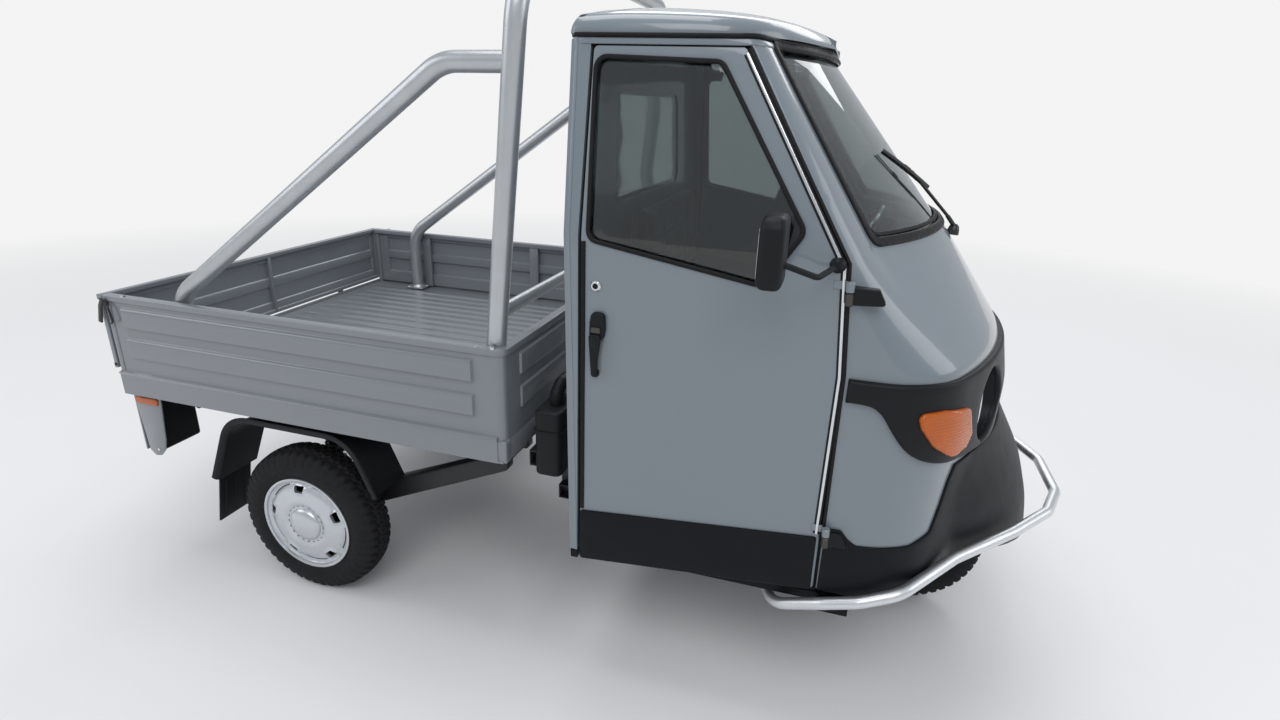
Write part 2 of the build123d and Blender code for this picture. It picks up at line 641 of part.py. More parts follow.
# Bed front wall: its section swept round both corners, and notched for the hoop's legs
with BuildPart() as bed_front_wall:
    with BuildLine() as wall_line:
        sheet_x = BED_FRONT_X - 3
        FilletPolyline((BED_CORNER_X, -BED_SHEET_Y), (sheet_x, -BED_SHEET_Y), (sheet_x, BED_SHEET_Y),
                       (BED_CORNER_X, BED_SHEET_Y), radius=BED_CORNER_RADIUS)
    with BuildSketch(Plane((BED_CORNER_X, -BED_SHEET_Y, 0), x_dir=(0, 1, 0), z_dir=(1, 0, 0))):
        with BuildLine():
            Polyline(*FRONT_SECTION, close=True)
        make_face()
    sweep(path=wall_line.line)
    for z in BAND_HEIGHTS:
        add(pressed_band(Plane((BED_FRONT_X, 0, z), x_dir=(0, 1, 0), z_dir=(1, 0, 0)), 980, BAND_DEPTH))
        inner = Plane((BED_FRONT_X - 6, 0, z), x_dir=(0, 1, 0), z_dir=(1, 0, 0))
        add(pressed_band(inner, 980, BAND_DEPTH), mode=Mode.SUBTRACT)
    add(roll_bar.part, mode=Mode.SUBTRACT)
finish(bed_front_wall, "bed_front_wall")

# Tailgate: a pressed sheet in a frame of flanges, hinged along its foot
GATE_HALF = 574
GATE_X = (-1241, -1235)
GATE_FRAME_X = (-1241, -1228)
GATE_FOOT_Z = 610
GATE_BAND_DEPTH = 4
with BuildPart() as tailgate:
    add(block(GATE_X, (-GATE_HALF, GATE_HALF), (GATE_FOOT_Z, BED_TOP_Z)))
    add(block((-1245, -1228), (-GATE_HALF, GATE_HALF), (800, BED_TOP_Z)))
    add(block(GATE_FRAME_X, (-GATE_HALF, GATE_HALF), (GATE_FOOT_Z, GATE_FOOT_Z + 12)))
    for y in (-568, 0, 568):
        add(block(GATE_FRAME_X, (y - 6, y + 6), (GATE_FOOT_Z, 800)))
    for z in BAND_HEIGHTS:
        add(pressed_band(Plane((GATE_X[0], 0, z), x_dir=(0, 1, 0), z_dir=(-1, 0, 0)), 1080, GATE_BAND_DEPTH))
    for side, sign in SIDES:
        add(rod(gate_hinge(sign * 322), gate_hinge(sign * 352), KNUCKLE_RADIUS))
        add(block((GATE_HINGE_X - 3, GATE_HINGE_X + 3), sorted((sign * 322, sign * 352)),
                  (GATE_HINGE_Z, GATE_FOOT_Z + 4)))
        bore = rod(gate_hinge(sign * 320), gate_hinge(sign * 354), GATE_PIN_RADIUS + HINGE_PLAY)
        add(bore, mode=Mode.SUBTRACT)
finish(tailgate, "tailgate")

# Frame rails: high under the bed, stepped down under the cab floor. x, z seen from the side
RAIL_OUTLINE = ((RAIL_REAR_X, 470), (RAIL_REAR_X, RAIL_TOP_Z), (RAIL_STEP_X + 50, RAIL_TOP_Z),
                (RAIL_STEP_X + 50, 345), (RAIL_STEP_X + 65, FLOOR_Z), (RAIL_FRONT_X, FLOOR_Z),
                (RAIL_FRONT_X, FLOOR_Z - RAIL_DEPTH), (RAIL_STEP_X + 25, FLOOR_Z - RAIL_DEPTH),
                (RAIL_STEP_X, FLOOR_Z - 30), (RAIL_STEP_X, 470))
rail_inner_y = RAIL_Y - RAIL_WIDTH / 2
rail_outer_y = RAIL_Y + RAIL_WIDTH / 2
with BuildPart() as frame_rails:
    for side, sign in SIDES:
        add(side_prism(RAIL_OUTLINE, *sorted((sign * rail_inner_y, sign * rail_outer_y))))
finish(frame_rails, "frame_rails")

# Cross members between the rails and outriggers beside them.
# x of the rear face, z of the foot, depth, reach of the outriggers or 0
CROSS_MEMBERS = (
    (-1180, 486, 42, 0),
    (-600, 505, 23, 540),
    (-430, 486, 42, 0),
    (RAIL_STEP_X, 486, 42, 480),
    (RAIL_STEP_X, 288, 42, 430),
    (160, 288, 42, 430),
    (535, 288, 42, 490),
)
MEMBER_WIDTH = 50
ARM_PIVOT = (-170, 436)
ARM_Y = 385
DAMPER_SEAT_Z = 500
with BuildPart() as frame_cross_members:
    for x, z, depth, reach in CROSS_MEMBERS:
        add(block((x, x + MEMBER_WIDTH), (-rail_inner_y, rail_inner_y), (z, z + depth)))
        if reach:
            for side, sign in SIDES:
                outrigger = sorted((sign * rail_outer_y, sign * reach))
                add(block((x, x + MEMBER_WIDTH), outrigger, (z, z + depth)))
    for side, sign in SIDES:
        # Brackets of the suspension arms under the rails, and the dampers' seats beside them
        add(block((ARM_PIVOT[0] - 24, ARM_PIVOT[0] + 24), sorted((sign * 235, sign * 275)), (408, 470)))
        add(block((REAR_AXLE_X - 76, REAR_AXLE_X + 4), sorted((sign * rail_outer_y, sign * 425)),
                  (DAMPER_SEAT_Z, RAIL_TOP_Z)))
finish(frame_cross_members, "frame_cross_members")

# Rear suspension: a trailing arm, a sprung damper and a stub axle for each wheel
ARM_OUTLINE = ((-725, 250), (-725, 185), (-625, 190), (-140, 408), (-140, 464), (-625, 262))
DAMPER_FOOT = (-695, 235)
DAMPER_TOP = (-721.5, DAMPER_SEAT_Z)
SPRING_SHARES = (0.35, 1)
with BuildPart() as rear_suspension:
    for side, sign in SIDES:
        add(side_prism(ARM_OUTLINE, *sorted((sign * (ARM_Y - 20), sign * (ARM_Y + 20)))))
        add(rod((REAR_AXLE_X, sign * ARM_Y, WHEEL_RADIUS), (REAR_AXLE_X, sign * (ARM_Y + 130), WHEEL_RADIUS),
                AXLE_RADIUS))
        add(rod((ARM_PIVOT[0], sign * 275, ARM_PIVOT[1]), (ARM_PIVOT[0], sign * ARM_Y, ARM_PIVOT[1]), 26))
        foot = Vector(DAMPER_FOOT[0], sign * ARM_Y, DAMPER_FOOT[1])
        top = Vector(DAMPER_TOP[0], sign * ARM_Y, DAMPER_TOP[1])
        spring = [foot + (top - foot) * share for share in SPRING_SHARES]
        add(rod(foot, top, 15))
        add(rod(spring[0], spring[1], 27))
    add(block(WIDE, WIDE, (DAMPER_SEAT_Z, 900)), mode=Mode.SUBTRACT)
finish(rear_suspension, "rear_suspension")

# Wheels: the tyre's half section as x along the axle and y outward, then the rim's with its cap
half = TYRE_WIDTH / 2
SHOULDER = (half - 12, WHEEL_RADIUS - 7)
WHEEL_SECTION = ((-38, RIM_RADIUS), (38, RIM_RADIUS), (40, RIM_RADIUS - 6), (22, RIM_RADIUS - 16),
                 (24, 92), (30, 62), (26, 56), (26, 53), (34, 48), (38, 30), (40, 0), (-50, 0), (-50, 34),
                 (6, 34), (6, 96), (-4, RIM_RADIUS - 20), (-38, RIM_RADIUS - 6))
WHEELS = (
    ("rear_right", REAR_AXLE_X, -REAR_TRACK / 2, -1),
    ("rear_left", REAR_AXLE_X, REAR_TRACK / 2, 1),
    ("front", FRONT_AXLE_X, 0, -1),
)
PORT_COUNT = 5
PORT_ANGLE = 22
PORT_DEPTH = 7
PORT_OUTLINE = ((96, -17), (115, -12), (115, 12), (96, 17))
for name, axle_x, centre_y, sign in WHEELS:
    centre = Vector(axle_x, centre_y, WHEEL_RADIUS)
    axle = Plane(centre, x_dir=(0, sign, 0), z_dir=(1, 0, 0))
    with BuildPart() as tyre:
        with BuildSketch(axle):
            with BuildLine():
                ThreePointArc((half - 12, RIM_RADIUS), (half, RIM_RADIUS + 38), SHOULDER)
                ThreePointArc(SHOULDER, (0, WHEEL_RADIUS), (-SHOULDER[0], SHOULDER[1]))
                ThreePointArc((-SHOULDER[0], SHOULDER[1]), (-half, RIM_RADIUS + 38), (12 - half, RIM_RADIUS))
                Line((12 - half, RIM_RADIUS), (half - 12, RIM_RADIUS))
            make_face()
        revolve(axis=Axis(centre, (0, 1, 0)))
    finish(tyre, f"tyre_{name}")

    with BuildPart() as wheel:
        with BuildSketch(axle):
            with BuildLine():
                Polyline(*WHEEL_SECTION, close=True)
            make_face()
        revolve(axis=Axis(centre, (0, 1, 0)))
        # Ports in the cap's outer ring
        face = Plane(centre + Vector(0, sign * 30, 0), x_dir=(sign, 0, 0), z_dir=(0, -sign, 0))
        with BuildSketch(face):
            with PolarLocations(0, PORT_COUNT, start_angle=PORT_ANGLE):
                with BuildLine():
                    Polyline(*PORT_OUTLINE, close=True)
                make_face()
        extrude(amount=PORT_DEPTH + 8, mode=Mode.SUBTRACT)
        bore = rod(centre - Vector(0, sign * 60, 0), centre + Vector(0, sign * 6, 0), HUB_BORE)
        add(bore, mode=Mode.SUBTRACT)
    finish(wheel, f"wheel_{name}")

# Steering: column, crown, single front arm and stub axle
ARM_TOP_X = column_x(440)
with BuildPart() as front_fork:
    add(rod((column_x(COLUMN_BASE_Z), 0, COLUMN_BASE_Z), COLUMN_TOP, COLUMN_RADIUS))
    add(block((ARM_TOP_X - 28, ARM_TOP_X + 28), (-25, 105), (440, 464)))
    add(side_prism(((ARM_TOP_X - 28, 464), (ARM_TOP_X + 28, 464), (FRONT_AXLE_X + 24, 200),
                    (FRONT_AXLE_X - 24, 200)), 72, 104))
    add(rod((FRONT_AXLE_X, 0, WHEEL_RADIUS), (FRONT_AXLE_X, 90, WHEEL_RADIUS), AXLE_RADIUS))
finish(front_fork, "front_fork")

# Handlebar with its grips and the switch housing. x behind the column's top, y, z above it
BAR_ROUTE = ((90, 290, -10), (60, 170, 0), (0, 60, 0))
GRIP_RADIUS = 16
with BuildPart() as handlebar:
    half_bar = [(COLUMN_TOP.X - back, y, COLUMN_TOP_Z + up) for back, y, up in BAR_ROUTE]
    other_half = [(x, -y, z) for x, y, z in reversed(half_bar)]
    add(tube(half_bar + other_half, 12, 30))
    for side, sign in SIDES:
        end, knee = [Vector(x, sign * y, z) for x, y, z in half_bar[:2]]
        add(rod(end, end + (knee - end) * 0.85, GRIP_RADIUS))
    add(block((COLUMN_TOP.X - 45, COLUMN_TOP.X + 45), (-75, 75), (COLUMN_TOP_Z - 19, COLUMN_TOP_Z + 31)))
    fillet(handlebar.faces().sort_by(Axis.Z)[-1].edges(), 12)
    add(front_fork.part, mode=Mode.SUBTRACT)
finish(handlebar, "handlebar")

# Front bumper tube, bent round the apron from one outrigger to the other. x, y, z of one half
BUMPER_ROUTE = ((560, 490, 298), (592, 574, 311), (687, 614, 368), (762, 618, 394), (838, 600, 420),
                (955, 456, 438), (1092, 322, 448), (1190, 200, 450), (1232, 90, 450))
BUMPER_RADIUS = 13
with BuildPart() as front_bumper:
    right_half = [(x, -y, z) for x, y, z in BUMPER_ROUTE]
    left_half = [(x, y, z) for x, y, z in reversed(BUMPER_ROUTE)]
    add(tube(right_half + left_half, BUMPER_RADIUS, 26))
    add(frame_cross_members.part, mode=Mode.SUBTRACT)
finish(front_bumper, "front_bumper")

# Rear mudguards: black arches with an inward lip on the outside, and their flaps
GUARD_ROUTE = ((-455, 345), (-520, 497), (-880, 497), (-965, 300))
GUARD_Y = (425, 566)
GUARD_SKIN = 8
GUARD_LIP = 22


def guard_arch(y_low, y_high, depth):
    """The arch between two y, as deep as given."""
    with BuildPart() as arch:
        with BuildSketch(Plane.XZ.offset(-y_low)):
            with BuildLine():
                FilletPolyline(*GUARD_ROUTE, radius=90)
                offset(amount=depth, side=Side.RIGHT)
            make_face()
        extrude(amount=y_low - y_high)
    return arch.part


with BuildPart() as rear_mudguards:
    for side, sign in SIDES:
        add(guard_arch(*sorted((sign * GUARD_Y[0], sign * GUARD_Y[1])), GUARD_SKIN))
        add(guard_arch(*sorted((sign * (GUARD_Y[1] - 5), sign * GUARD_Y[1])), GUARD_LIP))
        with Locations((-985, sign * 500, 228)):
            Box(6, 110, 150, rotation=(0, 12, 0))
finish(rear_mudguards, "rear_mudguards")

# Tail lamp brackets: a plate down from the bed's corner and a shelf under the rear bearer
BRACKET_OUTLINE = ((-1222, 532), (-1123, 532), (-1140, 390), (-1150, 358), (-1168, 338), (-1190, 334),
                   (-1206, 350))
with BuildPart() as lamp_brackets:
    for side, sign in SIDES:
        add(side_prism(BRACKET_OUTLINE, *sorted((sign * 552, sign * 556))))
        add(block((-1222, -1123), sorted((sign * 430, sign * 556)), (524, 528)))
finish(lamp_brackets, "lamp_brackets")

# Tail lamps: rounded boxes against the brackets
LAMP_BOX = ((-1222, -1152), (432, 552), (356, 524))
with BuildPart() as tail_lamps:
    for side, sign in SIDES:
        with BuildPart(mode=Mode.PRIVATE) as lamp:
            add(block(LAMP_BOX[0], sorted((sign * LAMP_BOX[1][0], sign * LAMP_BOX[1][1])), LAMP_BOX[2]))
            fillet(lamp.faces().sort_by(Axis.X)[0].edges(), 10)
        add(lamp.part)
finish(tail_lamps, "tail_lamps")

# Engine, as one plain block, with the exhaust box and the air box
with BuildPart() as engine_block:
    add(block((-685, -355), (-90, 170), (220, 486)))
finish(engine_block, "engine_block")

with BuildPart() as exhaust:
    with BuildSketch(Plane.XZ.offset(260)):
        with Locations((-900, 410)):
            RectangleRounded(240, 120, 40)
    extrude(amount=-360)
finish(exhaust, "exhaust")

with BuildPart() as air_box:
    add(block((10, 76), (-560, -430), (514, 676)))
    fillet(air_box.edges().filter_by(Axis.Z).sort_by(Axis.Y)[:2], 18)
finish(air_box, "air_box")

# Wiper: arm and blade in front of the screen
WIPER_PIVOT = (888, 0, 1062)
WIPER_KNEE = (760, -150, 1216)
BLADE_ENDS = ((690, -235, 1262), (806, -98, 1180))
with BuildPart() as wiper:
    add(rod(WIPER_PIVOT, (890, 0, 1090), 16))
    add(rod((890, 0, 1084), WIPER_KNEE, 5))
    add(rod(*BLADE_ENDS, 6))
    add(cab_nose.part, mode=Mode.SUBTRACT)
finish(wiper, "wiper")
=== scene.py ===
import json
import math

import bmesh
import bpy
import numpy as np
from mathutils import Matrix, Vector
from mathutils.geometry import delaunay_2d_cdt


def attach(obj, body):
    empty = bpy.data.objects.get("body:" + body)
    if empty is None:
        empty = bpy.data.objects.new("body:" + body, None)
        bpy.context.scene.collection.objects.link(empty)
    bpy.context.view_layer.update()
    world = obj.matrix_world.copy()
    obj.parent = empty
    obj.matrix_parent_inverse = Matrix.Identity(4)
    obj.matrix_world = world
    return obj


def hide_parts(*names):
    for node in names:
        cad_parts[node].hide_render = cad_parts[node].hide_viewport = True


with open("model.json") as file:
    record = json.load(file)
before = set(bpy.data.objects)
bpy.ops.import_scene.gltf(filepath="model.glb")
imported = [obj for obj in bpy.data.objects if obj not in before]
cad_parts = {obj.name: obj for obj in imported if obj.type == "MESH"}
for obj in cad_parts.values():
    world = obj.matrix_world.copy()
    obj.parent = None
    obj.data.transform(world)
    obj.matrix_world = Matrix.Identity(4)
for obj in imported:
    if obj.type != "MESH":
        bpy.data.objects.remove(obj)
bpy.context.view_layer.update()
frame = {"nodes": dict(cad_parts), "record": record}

NODES = frame["nodes"]
SIDES = (("right", -1), ("left", 1))
SIGNS = (-1, 1)
MM = 0.001

# Camera, solved from the photograph: place, angles in degrees and focal length in pixels
CAMERA_PLACE = (0.631, -1.854, 1.338)
CAMERA_YAW = -16.04
CAMERA_PITCH = 20.48
CAMERA_ROLL = 2.09
FOCAL_PIXELS = 686.6
IMAGE_WIDTH = 1280
SENSOR_WIDTH = 36
VIEW_REACH = 60

# Studio: lamps by place, target, size and power, the world's light and what the camera sees
LAMPS = {
    "key": ((1.5, -4.5, 5.5), (0, 0, 0.6), (5, 3), 140),
    "fill": ((-5, -2.5, 3.5), (-0.4, 0, 0.7), (4, 3), 60),
    "back": ((0.5, 5.5, 5.0), (0, 0, 0.8), (6, 3), 120),
    "front": ((5.5, 0.5, 3.0), (0.6, 0, 0.8), (3, 3), 45),
    "top": ((-0.6, 0, 5.2), (-0.6, 0, 0), (3, 2.4), 70),
}
WORLD_COLOR, WORLD_STRENGTH = (0.86, 0.9, 0.96, 1), 0.55
BACKDROP = (0.9, 0.9, 0.9, 1)
FLOOR_REACH = 30
FLOOR_FADE = (2.2, 7.0)


def added(name, data):
    """A new object in the scene."""
    thing = bpy.data.objects.new(name, data)
    bpy.context.scene.collection.objects.link(thing)
    return thing


def add_camera():
    """The photograph's camera."""
    yaw, pitch, roll = (math.radians(a) for a in (CAMERA_YAW, CAMERA_PITCH, CAMERA_ROLL))
    ahead = Vector((math.sin(yaw) * math.cos(pitch), math.cos(yaw) * math.cos(pitch), -math.sin(pitch)))
    level = Vector((math.cos(yaw), -math.sin(yaw), 0))
    upright = level.cross(ahead)
    right = math.cos(roll) * level + math.sin(roll) * upright
    up = math.cos(roll) * upright - math.sin(roll) * level
    camera = added("camera", bpy.data.cameras.new("camera"))
    camera.data.sensor_width = SENSOR_WIDTH
    camera.data.lens = FOCAL_PIXELS / IMAGE_WIDTH * SENSOR_WIDTH
    camera.data.clip_end = VIEW_REACH
    camera.matrix_world = Matrix.Translation(CAMERA_PLACE) @ Matrix((right, up, -ahead)).transposed().to_4x4()
    bpy.context.scene.camera = camera


def feed(tree, node, sockets):
    """Gives a node's sockets values, or links them to outputs."""
    for key, value in sockets.items():
        if isinstance(value, bpy.types.NodeSocket):
            tree.links.new(value, node.inputs[key])
        else:
            node.inputs[key].default_value = value


def new_node(tree, kind, sockets, operation=None):
    """A shader node with its operation and its sockets' values or feeding outputs."""
    node = tree.nodes.new(kind)
    if operation:
        node.operation = operation
    feed(tree, node, sockets)
    return node


def seen_rays(tree):
    """The light path, and an output that is one for what the camera sees, also through glass."""
    path = tree.nodes.new("ShaderNodeLightPath")
    camera, glass = path.outputs["Is Camera Ray"], path.outputs["Is Transmission Ray"]
    return path, new_node(tree, "ShaderNodeMath", {0: camera, 1: glass}, "MAXIMUM").outputs[0]


def mix_shaders(tree, end, share, low, high):
    """Two shaders mixed by a share, as what the tree's end node shows."""
    mix = new_node(tree, "ShaderNodeMixShader", {0: share, 1: low.outputs[0], 2: high.outputs[0]})
    tree.links.new(mix.outputs[0], tree.nodes[end].inputs["Surface"])


def add_studio():
    """Pale floor, white world and soft square lamps that look at their targets."""
    scene = bpy.context.scene
    scene.view_settings.view_transform = "Standard"
    scene.world = bpy.data.worlds.new("studio")
    scene.world.use_nodes = True
    tree = scene.world.node_tree
    light = tree.nodes["Background"]
    feed(tree, light, {"Color": WORLD_COLOR, "Strength": WORLD_STRENGTH})
    shown = new_node(tree, "ShaderNodeBackground", {"Color": BACKDROP, "Strength": 1})
    mix_shaders(tree, "World Output", seen_rays(tree)[1], light, shown)

    mesh = bpy.data.meshes.new("floor")
    span = (-FLOOR_REACH, FLOOR_REACH)
    mesh.from_pydata([(x, y, 0) for x, y in rectangle(span, span)], [], [(0, 1, 2, 3)])
    mesh.materials.append(material_floor())
    floor = added("floor", mesh)
    for name, (place, target, size, power) in LAMPS.items():
        lamp = added(name, bpy.data.lights.new(name, "AREA"))
        lamp.data.shape = "RECTANGLE"
        lamp.data.size, lamp.data.size_y = size
        lamp.data.energy = power
        lamp.location = place
        lamp.rotation_euler = (Vector(target) - Vector(place)).to_track_quat("-Z", "Y").to_euler()


class Look:
    """A principled material with helpers for its procedural parts, in metres on the object."""

    def __init__(self, name, color, roughness, metallic=0.0):
        self.material = bpy.data.materials.new(name)
        self.material.use_nodes = True
        self.tree = self.material.node_tree
        self.shader = self.tree.nodes["Principled BSDF"]
        self.coordinates = self.tree.nodes.new("ShaderNodeTexCoord").outputs["Object"]
        self.color = color
        self.set({"Base Color": (*color, 1), "Roughness": roughness, "Metallic": metallic})

    def set(self, sockets):
        """Gives the shader's own sockets values or feeding outputs."""
        feed(self.tree, self.shader, sockets)

    def noise(self, scale, detail, roughness=0.5):
        """Noise with features of about 1/scale metres."""
        sockets = {"Vector": self.coordinates, "Scale": scale, "Detail": detail, "Roughness": roughness}
        return new_node(self.tree, "ShaderNodeTexNoise", sockets).outputs["Fac"]

    def ramp(self, factor, low, high, low_value, high_value):
        """A factor from low to high, as a value from low_value to high_value."""
        sockets = {"Value": factor, "From Min": low, "From Max": high, "To Min": low_value, "To Max": high_value}
        return new_node(self.tree, "ShaderNodeMapRange", sockets).outputs["Result"]

    def mix(self, factor, low_color, high_color):
        """Lets the base colour vary between two by a factor."""
        node = self.tree.nodes.new("ShaderNodeMix")
        node.data_type = "RGBA"
        feed(self.tree, node, {"A": (*low_color, 1), "B": (*high_color, 1), "Factor": factor})
        self.set({"Base Color": node.outputs["Result"]})

    def shade(self, factor, low, high):
        """Lets the base colour vary between two shares of itself by a factor."""
        self.mix(factor, *([channel * share for channel in self.color] for share in (low, high)))

    def bump(self, height, strength, distance):
        """Adds relief of a depth in metres."""
        node = new_node(self.tree, "ShaderNodeBump", {"Strength": strength, "Distance": distance, "Height": height})
        self.set({"Normal": node.outputs["Normal"]})


def material_floor():
    """Smooth pale studio floor that fades into the backdrop for the camera and in reflections."""
    look = Look("floor", (0.8, 0.8, 0.8), 0.6)
    look.mix(look.noise(1.5, 4), (0.78, 0.78, 0.785), (0.82, 0.82, 0.82))
    tree = look.tree
    away = new_node(tree, "ShaderNodeVectorMath", {0: look.coordinates}, "LENGTH")
    fade = look.ramp(away.outputs["Value"], *FLOOR_FADE, 0.0, 1.0)
    path, seen = seen_rays(tree)
    both_ways = new_node(tree, "ShaderNodeMath", {0: seen, 1: path.outputs["Is Glossy Ray"]}, "MAXIMUM")
    share = new_node(tree, "ShaderNodeMath", {0: both_ways.outputs[0], 1: fade}, "MULTIPLY")
    backdrop = new_node(tree, "ShaderNodeEmission", {"Color": BACKDROP})
    mix_shaders(tree, "Material Output", share.outputs[0], look.shader, backdrop)
    return look.material


def material_paint(name, color):
    """Gloss vehicle paint: clear coat with a little orange peel, and dust in the low roughness."""
    look = Look(name, color, 0.32)
    look.shade(look.noise(3, 4), 0.97, 1.03)
    look.set({"Roughness": look.ramp(look.noise(26, 3), 0.3, 0.75, 0.3, 0.36), "Specular IOR Level": 0.45,
              "Coat Weight": 0.8, "Coat Roughness": 0.06, "Coat IOR": 1.5})
    look.bump(look.noise(150, 1), 0.03, 0.0004)
    return look.material


def material_plastic(name, color, roughness):
    """Moulded plastic with a fine leathery grain."""
    look = Look(name, color, roughness)
    look.shade(look.noise(9, 3), 0.9, 1.12)
    look.set({"Roughness": look.ramp(look.noise(30, 2), 0.3, 0.75, roughness - 0.02, roughness + 0.03),
              "Specular IOR Level": 0.16})
    look.bump(look.noise(900, 2, 0.6), 0.15, 0.0004)
    return look.material


def material_metal(name, color, roughness, metallic=1.0):
    """Metal with faint handling marks."""
    look = Look(name, color, roughness, metallic)
    look.shade(look.noise(16, 5, 0.6), 0.88, 1.08)
    look.set({"Roughness": look.ramp(look.noise(40, 3), 0.3, 0.75, roughness * 0.9, roughness * 1.12)})
    look.bump(look.noise(90, 2), 0.012, 0.0002)
    return look.material


def material_glass(name, color, tint):
    """Tinted safety glass that lets the inside show."""
    look = Look(name, color, 0.02)
    look.shade(look.noise(2.5, 3), 1 - tint, 1)
    look.set({"IOR": 1.5, "Transmission Weight": 1.0, "Coat Weight": 0.3, "Coat Roughness": 0.02,
              "Roughness": look.ramp(look.noise(14, 4), 0.4, 0.8, 0.01, 0.06)})
    return look.material


def material_rubber(name, color, roughness):
    """Black rubber with dust in its pores."""
    look = Look(name, color, roughness)
    look.shade(look.noise(40, 6, 0.65), 0.7, 1.6)
    look.set({"Roughness": look.ramp(look.noise(120, 4), 0.3, 0.7, roughness - 0.1, roughness + 0.1),
              "Specular IOR Level": 0.18})
    look.bump(look.noise(700, 3, 0.7), 0.3, 0.0005)
    return look.material


def material_fabric(name, color):
    """Woven seat cloth: two crossing bands of thread with sheen."""
    look = Look(name, color, 0.85)
    waves = []
    for direction in ("X", "Y"):
        wave = new_node(look.tree, "ShaderNodeTexWave",
                        {"Vector": look.coordinates, "Scale": 260, "Distortion": 1.2, "Detail": 2})
        wave.bands_direction = direction
        waves.append(wave.outputs["Fac"])
    weave = new_node(look.tree, "ShaderNodeMath", {0: waves[0], 1: waves[1]}, "MULTIPLY").outputs[0]
    look.shade(weave, 0.6, 1.7)
    look.set({"Sheen Weight": 0.3, "Sheen Roughness": 0.4})
    look.bump(weave, 0.5, 0.0006)
    return look.material


def material_lens(name, color):
    """Moulded lamp lens with light passing into it."""
    look = Look(name, color, 0.12)
    look.shade(look.noise(40, 3), 0.8, 1.1)
    look.set({"Coat Weight": 0.4, "Coat Roughness": 0.03, "Specular IOR Level": 0.3, "Subsurface Weight": 0.15,
              "Subsurface Scale": 0.01})
    return look.material


# Finishes: the kind of material, its colour, and what else that kind takes
FINISHES = {
    "body_paint": (material_paint, (0.178, 0.212, 0.238)),
    "bed_paint": (material_paint, (0.19, 0.206, 0.226)),
    "frame_black": (material_metal, (0.02, 0.02, 0.022), 0.45, 0.0),
    "black_metal": (material_metal, (0.018, 0.018, 0.019), 0.35, 0.0),
    "black_plastic": (material_plastic, (0.010, 0.0115, 0.013), 0.42),
    "deep_plastic": (material_plastic, (0.0052, 0.0062, 0.008), 0.46),
    "seal_rubber": (material_rubber, (0.008, 0.008, 0.0085), 0.5),
    "tinted_glass": (material_glass, (0.35, 0.4, 0.4), 0.15),
    "clear_lens": (material_glass, (0.85, 0.88, 0.9), 0.05),
    "orange_lens": (material_lens, (0.5, 0.1, 0.0006)),
    "red_lens": (material_lens, (0.5, 0.008, 0.006)),
    "polished_steel": (material_metal, (0.7, 0.72, 0.74), 0.2),
    "satin_steel": (material_metal, (0.72, 0.74, 0.76), 0.36, 0.9),
    "reflector": (material_metal, (0.8, 0.8, 0.8), 0.1),
    "mirror_glass": (material_metal, (0.75, 0.78, 0.8), 0.03),
    "silver_tube": (material_metal, (0.5, 0.52, 0.54), 0.34, 0.75),
    "seat_cover": (material_fabric, (0.03, 0.03, 0.033)),
    "cast_metal": (material_metal, (0.24, 0.24, 0.24), 0.6),
    "dark_steel": (material_metal, (0.1, 0.095, 0.09), 0.5),
    "tyre_rubber": (material_rubber, (0.011, 0.011, 0.012), 0.7),
    "wheel_silver": (material_metal, (0.62, 0.64, 0.67), 0.3, 0.8),
}
LOOKS = {name: make(name, *values) for name, (make, *values) in FINISHES.items()}


def dress_nodes():
    """Each CAD node takes its slot's material, and the cab floor a darker one."""
    slots = {part["node"]: part["material_slot"] for part in frame["record"]["subparts"]}
    for name, node in NODES.items():
        node.data.materials.clear()
        node.data.materials.append(LOOKS["deep_plastic" if name == "cab_floor" else slots[name]])


def piece(name, shapes, slot, body="root", nodes=(), look=None, sharp=38):
    """One visible piece from its shapes, with its finish, body and the CAD nodes that it stands for."""
    points, faces = [], []
    for some_points, some_faces in shapes:
        start = len(points)
        points.extend(tuple(float(c) * MM for c in p) for p in some_points)
        faces.extend(tuple(i + start for i in face) for face in some_faces)
    mesh = bpy.data.meshes.new(name)
    mesh.from_pydata(points, [], faces)
    work = bmesh.new()
    work.from_mesh(mesh)
    bmesh.ops.recalc_face_normals(work, faces=work.faces[:])
    work.to_mesh(mesh)
    work.free()
    mesh.polygons.foreach_set("use_smooth", [True] * len(mesh.polygons))
    mesh.set_sharp_from_angle(angle=math.radians(sharp))
    mesh.materials.append(LOOKS[look or slot])
    thing = added(name, mesh)
    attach(thing, body)
    if nodes:
        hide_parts(*nodes)


def rubber_piece(name, shapes, body="root"):
    """A seal, strip or grip of black rubber."""
    piece(name, shapes, "black_plastic", body, look="seal_rubber")


def on_side(shape, sign):
    """A shape drawn on the left, on the side of the sign."""
    points, faces = shape
    return shape if sign > 0 else ([(x, -y, z) for x, y, z in points], faces)


def on_both(*shapes):
    """Shapes drawn on the left, on both sides."""
    return [on_side(shape, sign) for sign in SIGNS for shape in shapes]


def from_bmesh(work):
    """A work mesh as a shape: its points and faces."""
    work.verts.index_update()
    shape = [tuple(v.co) for v in work.verts], [tuple(v.index for v in f.verts) for f in work.faces]
    work.free()
    return shape


# Edges between faces that meet at more than this are rounded
CREASE = math.radians(30)


def rounded(work, radius, segments):
    """Rounds the creases."""
    if radius > 0:
        edges = [e for e in work.edges if e.is_manifold and e.calc_face_angle() > CREASE]
        bmesh.ops.bevel(work, geom=edges, offset=radius, segments=segments, profile=0.5, affect="EDGES",
                        clamp_overlap=True)


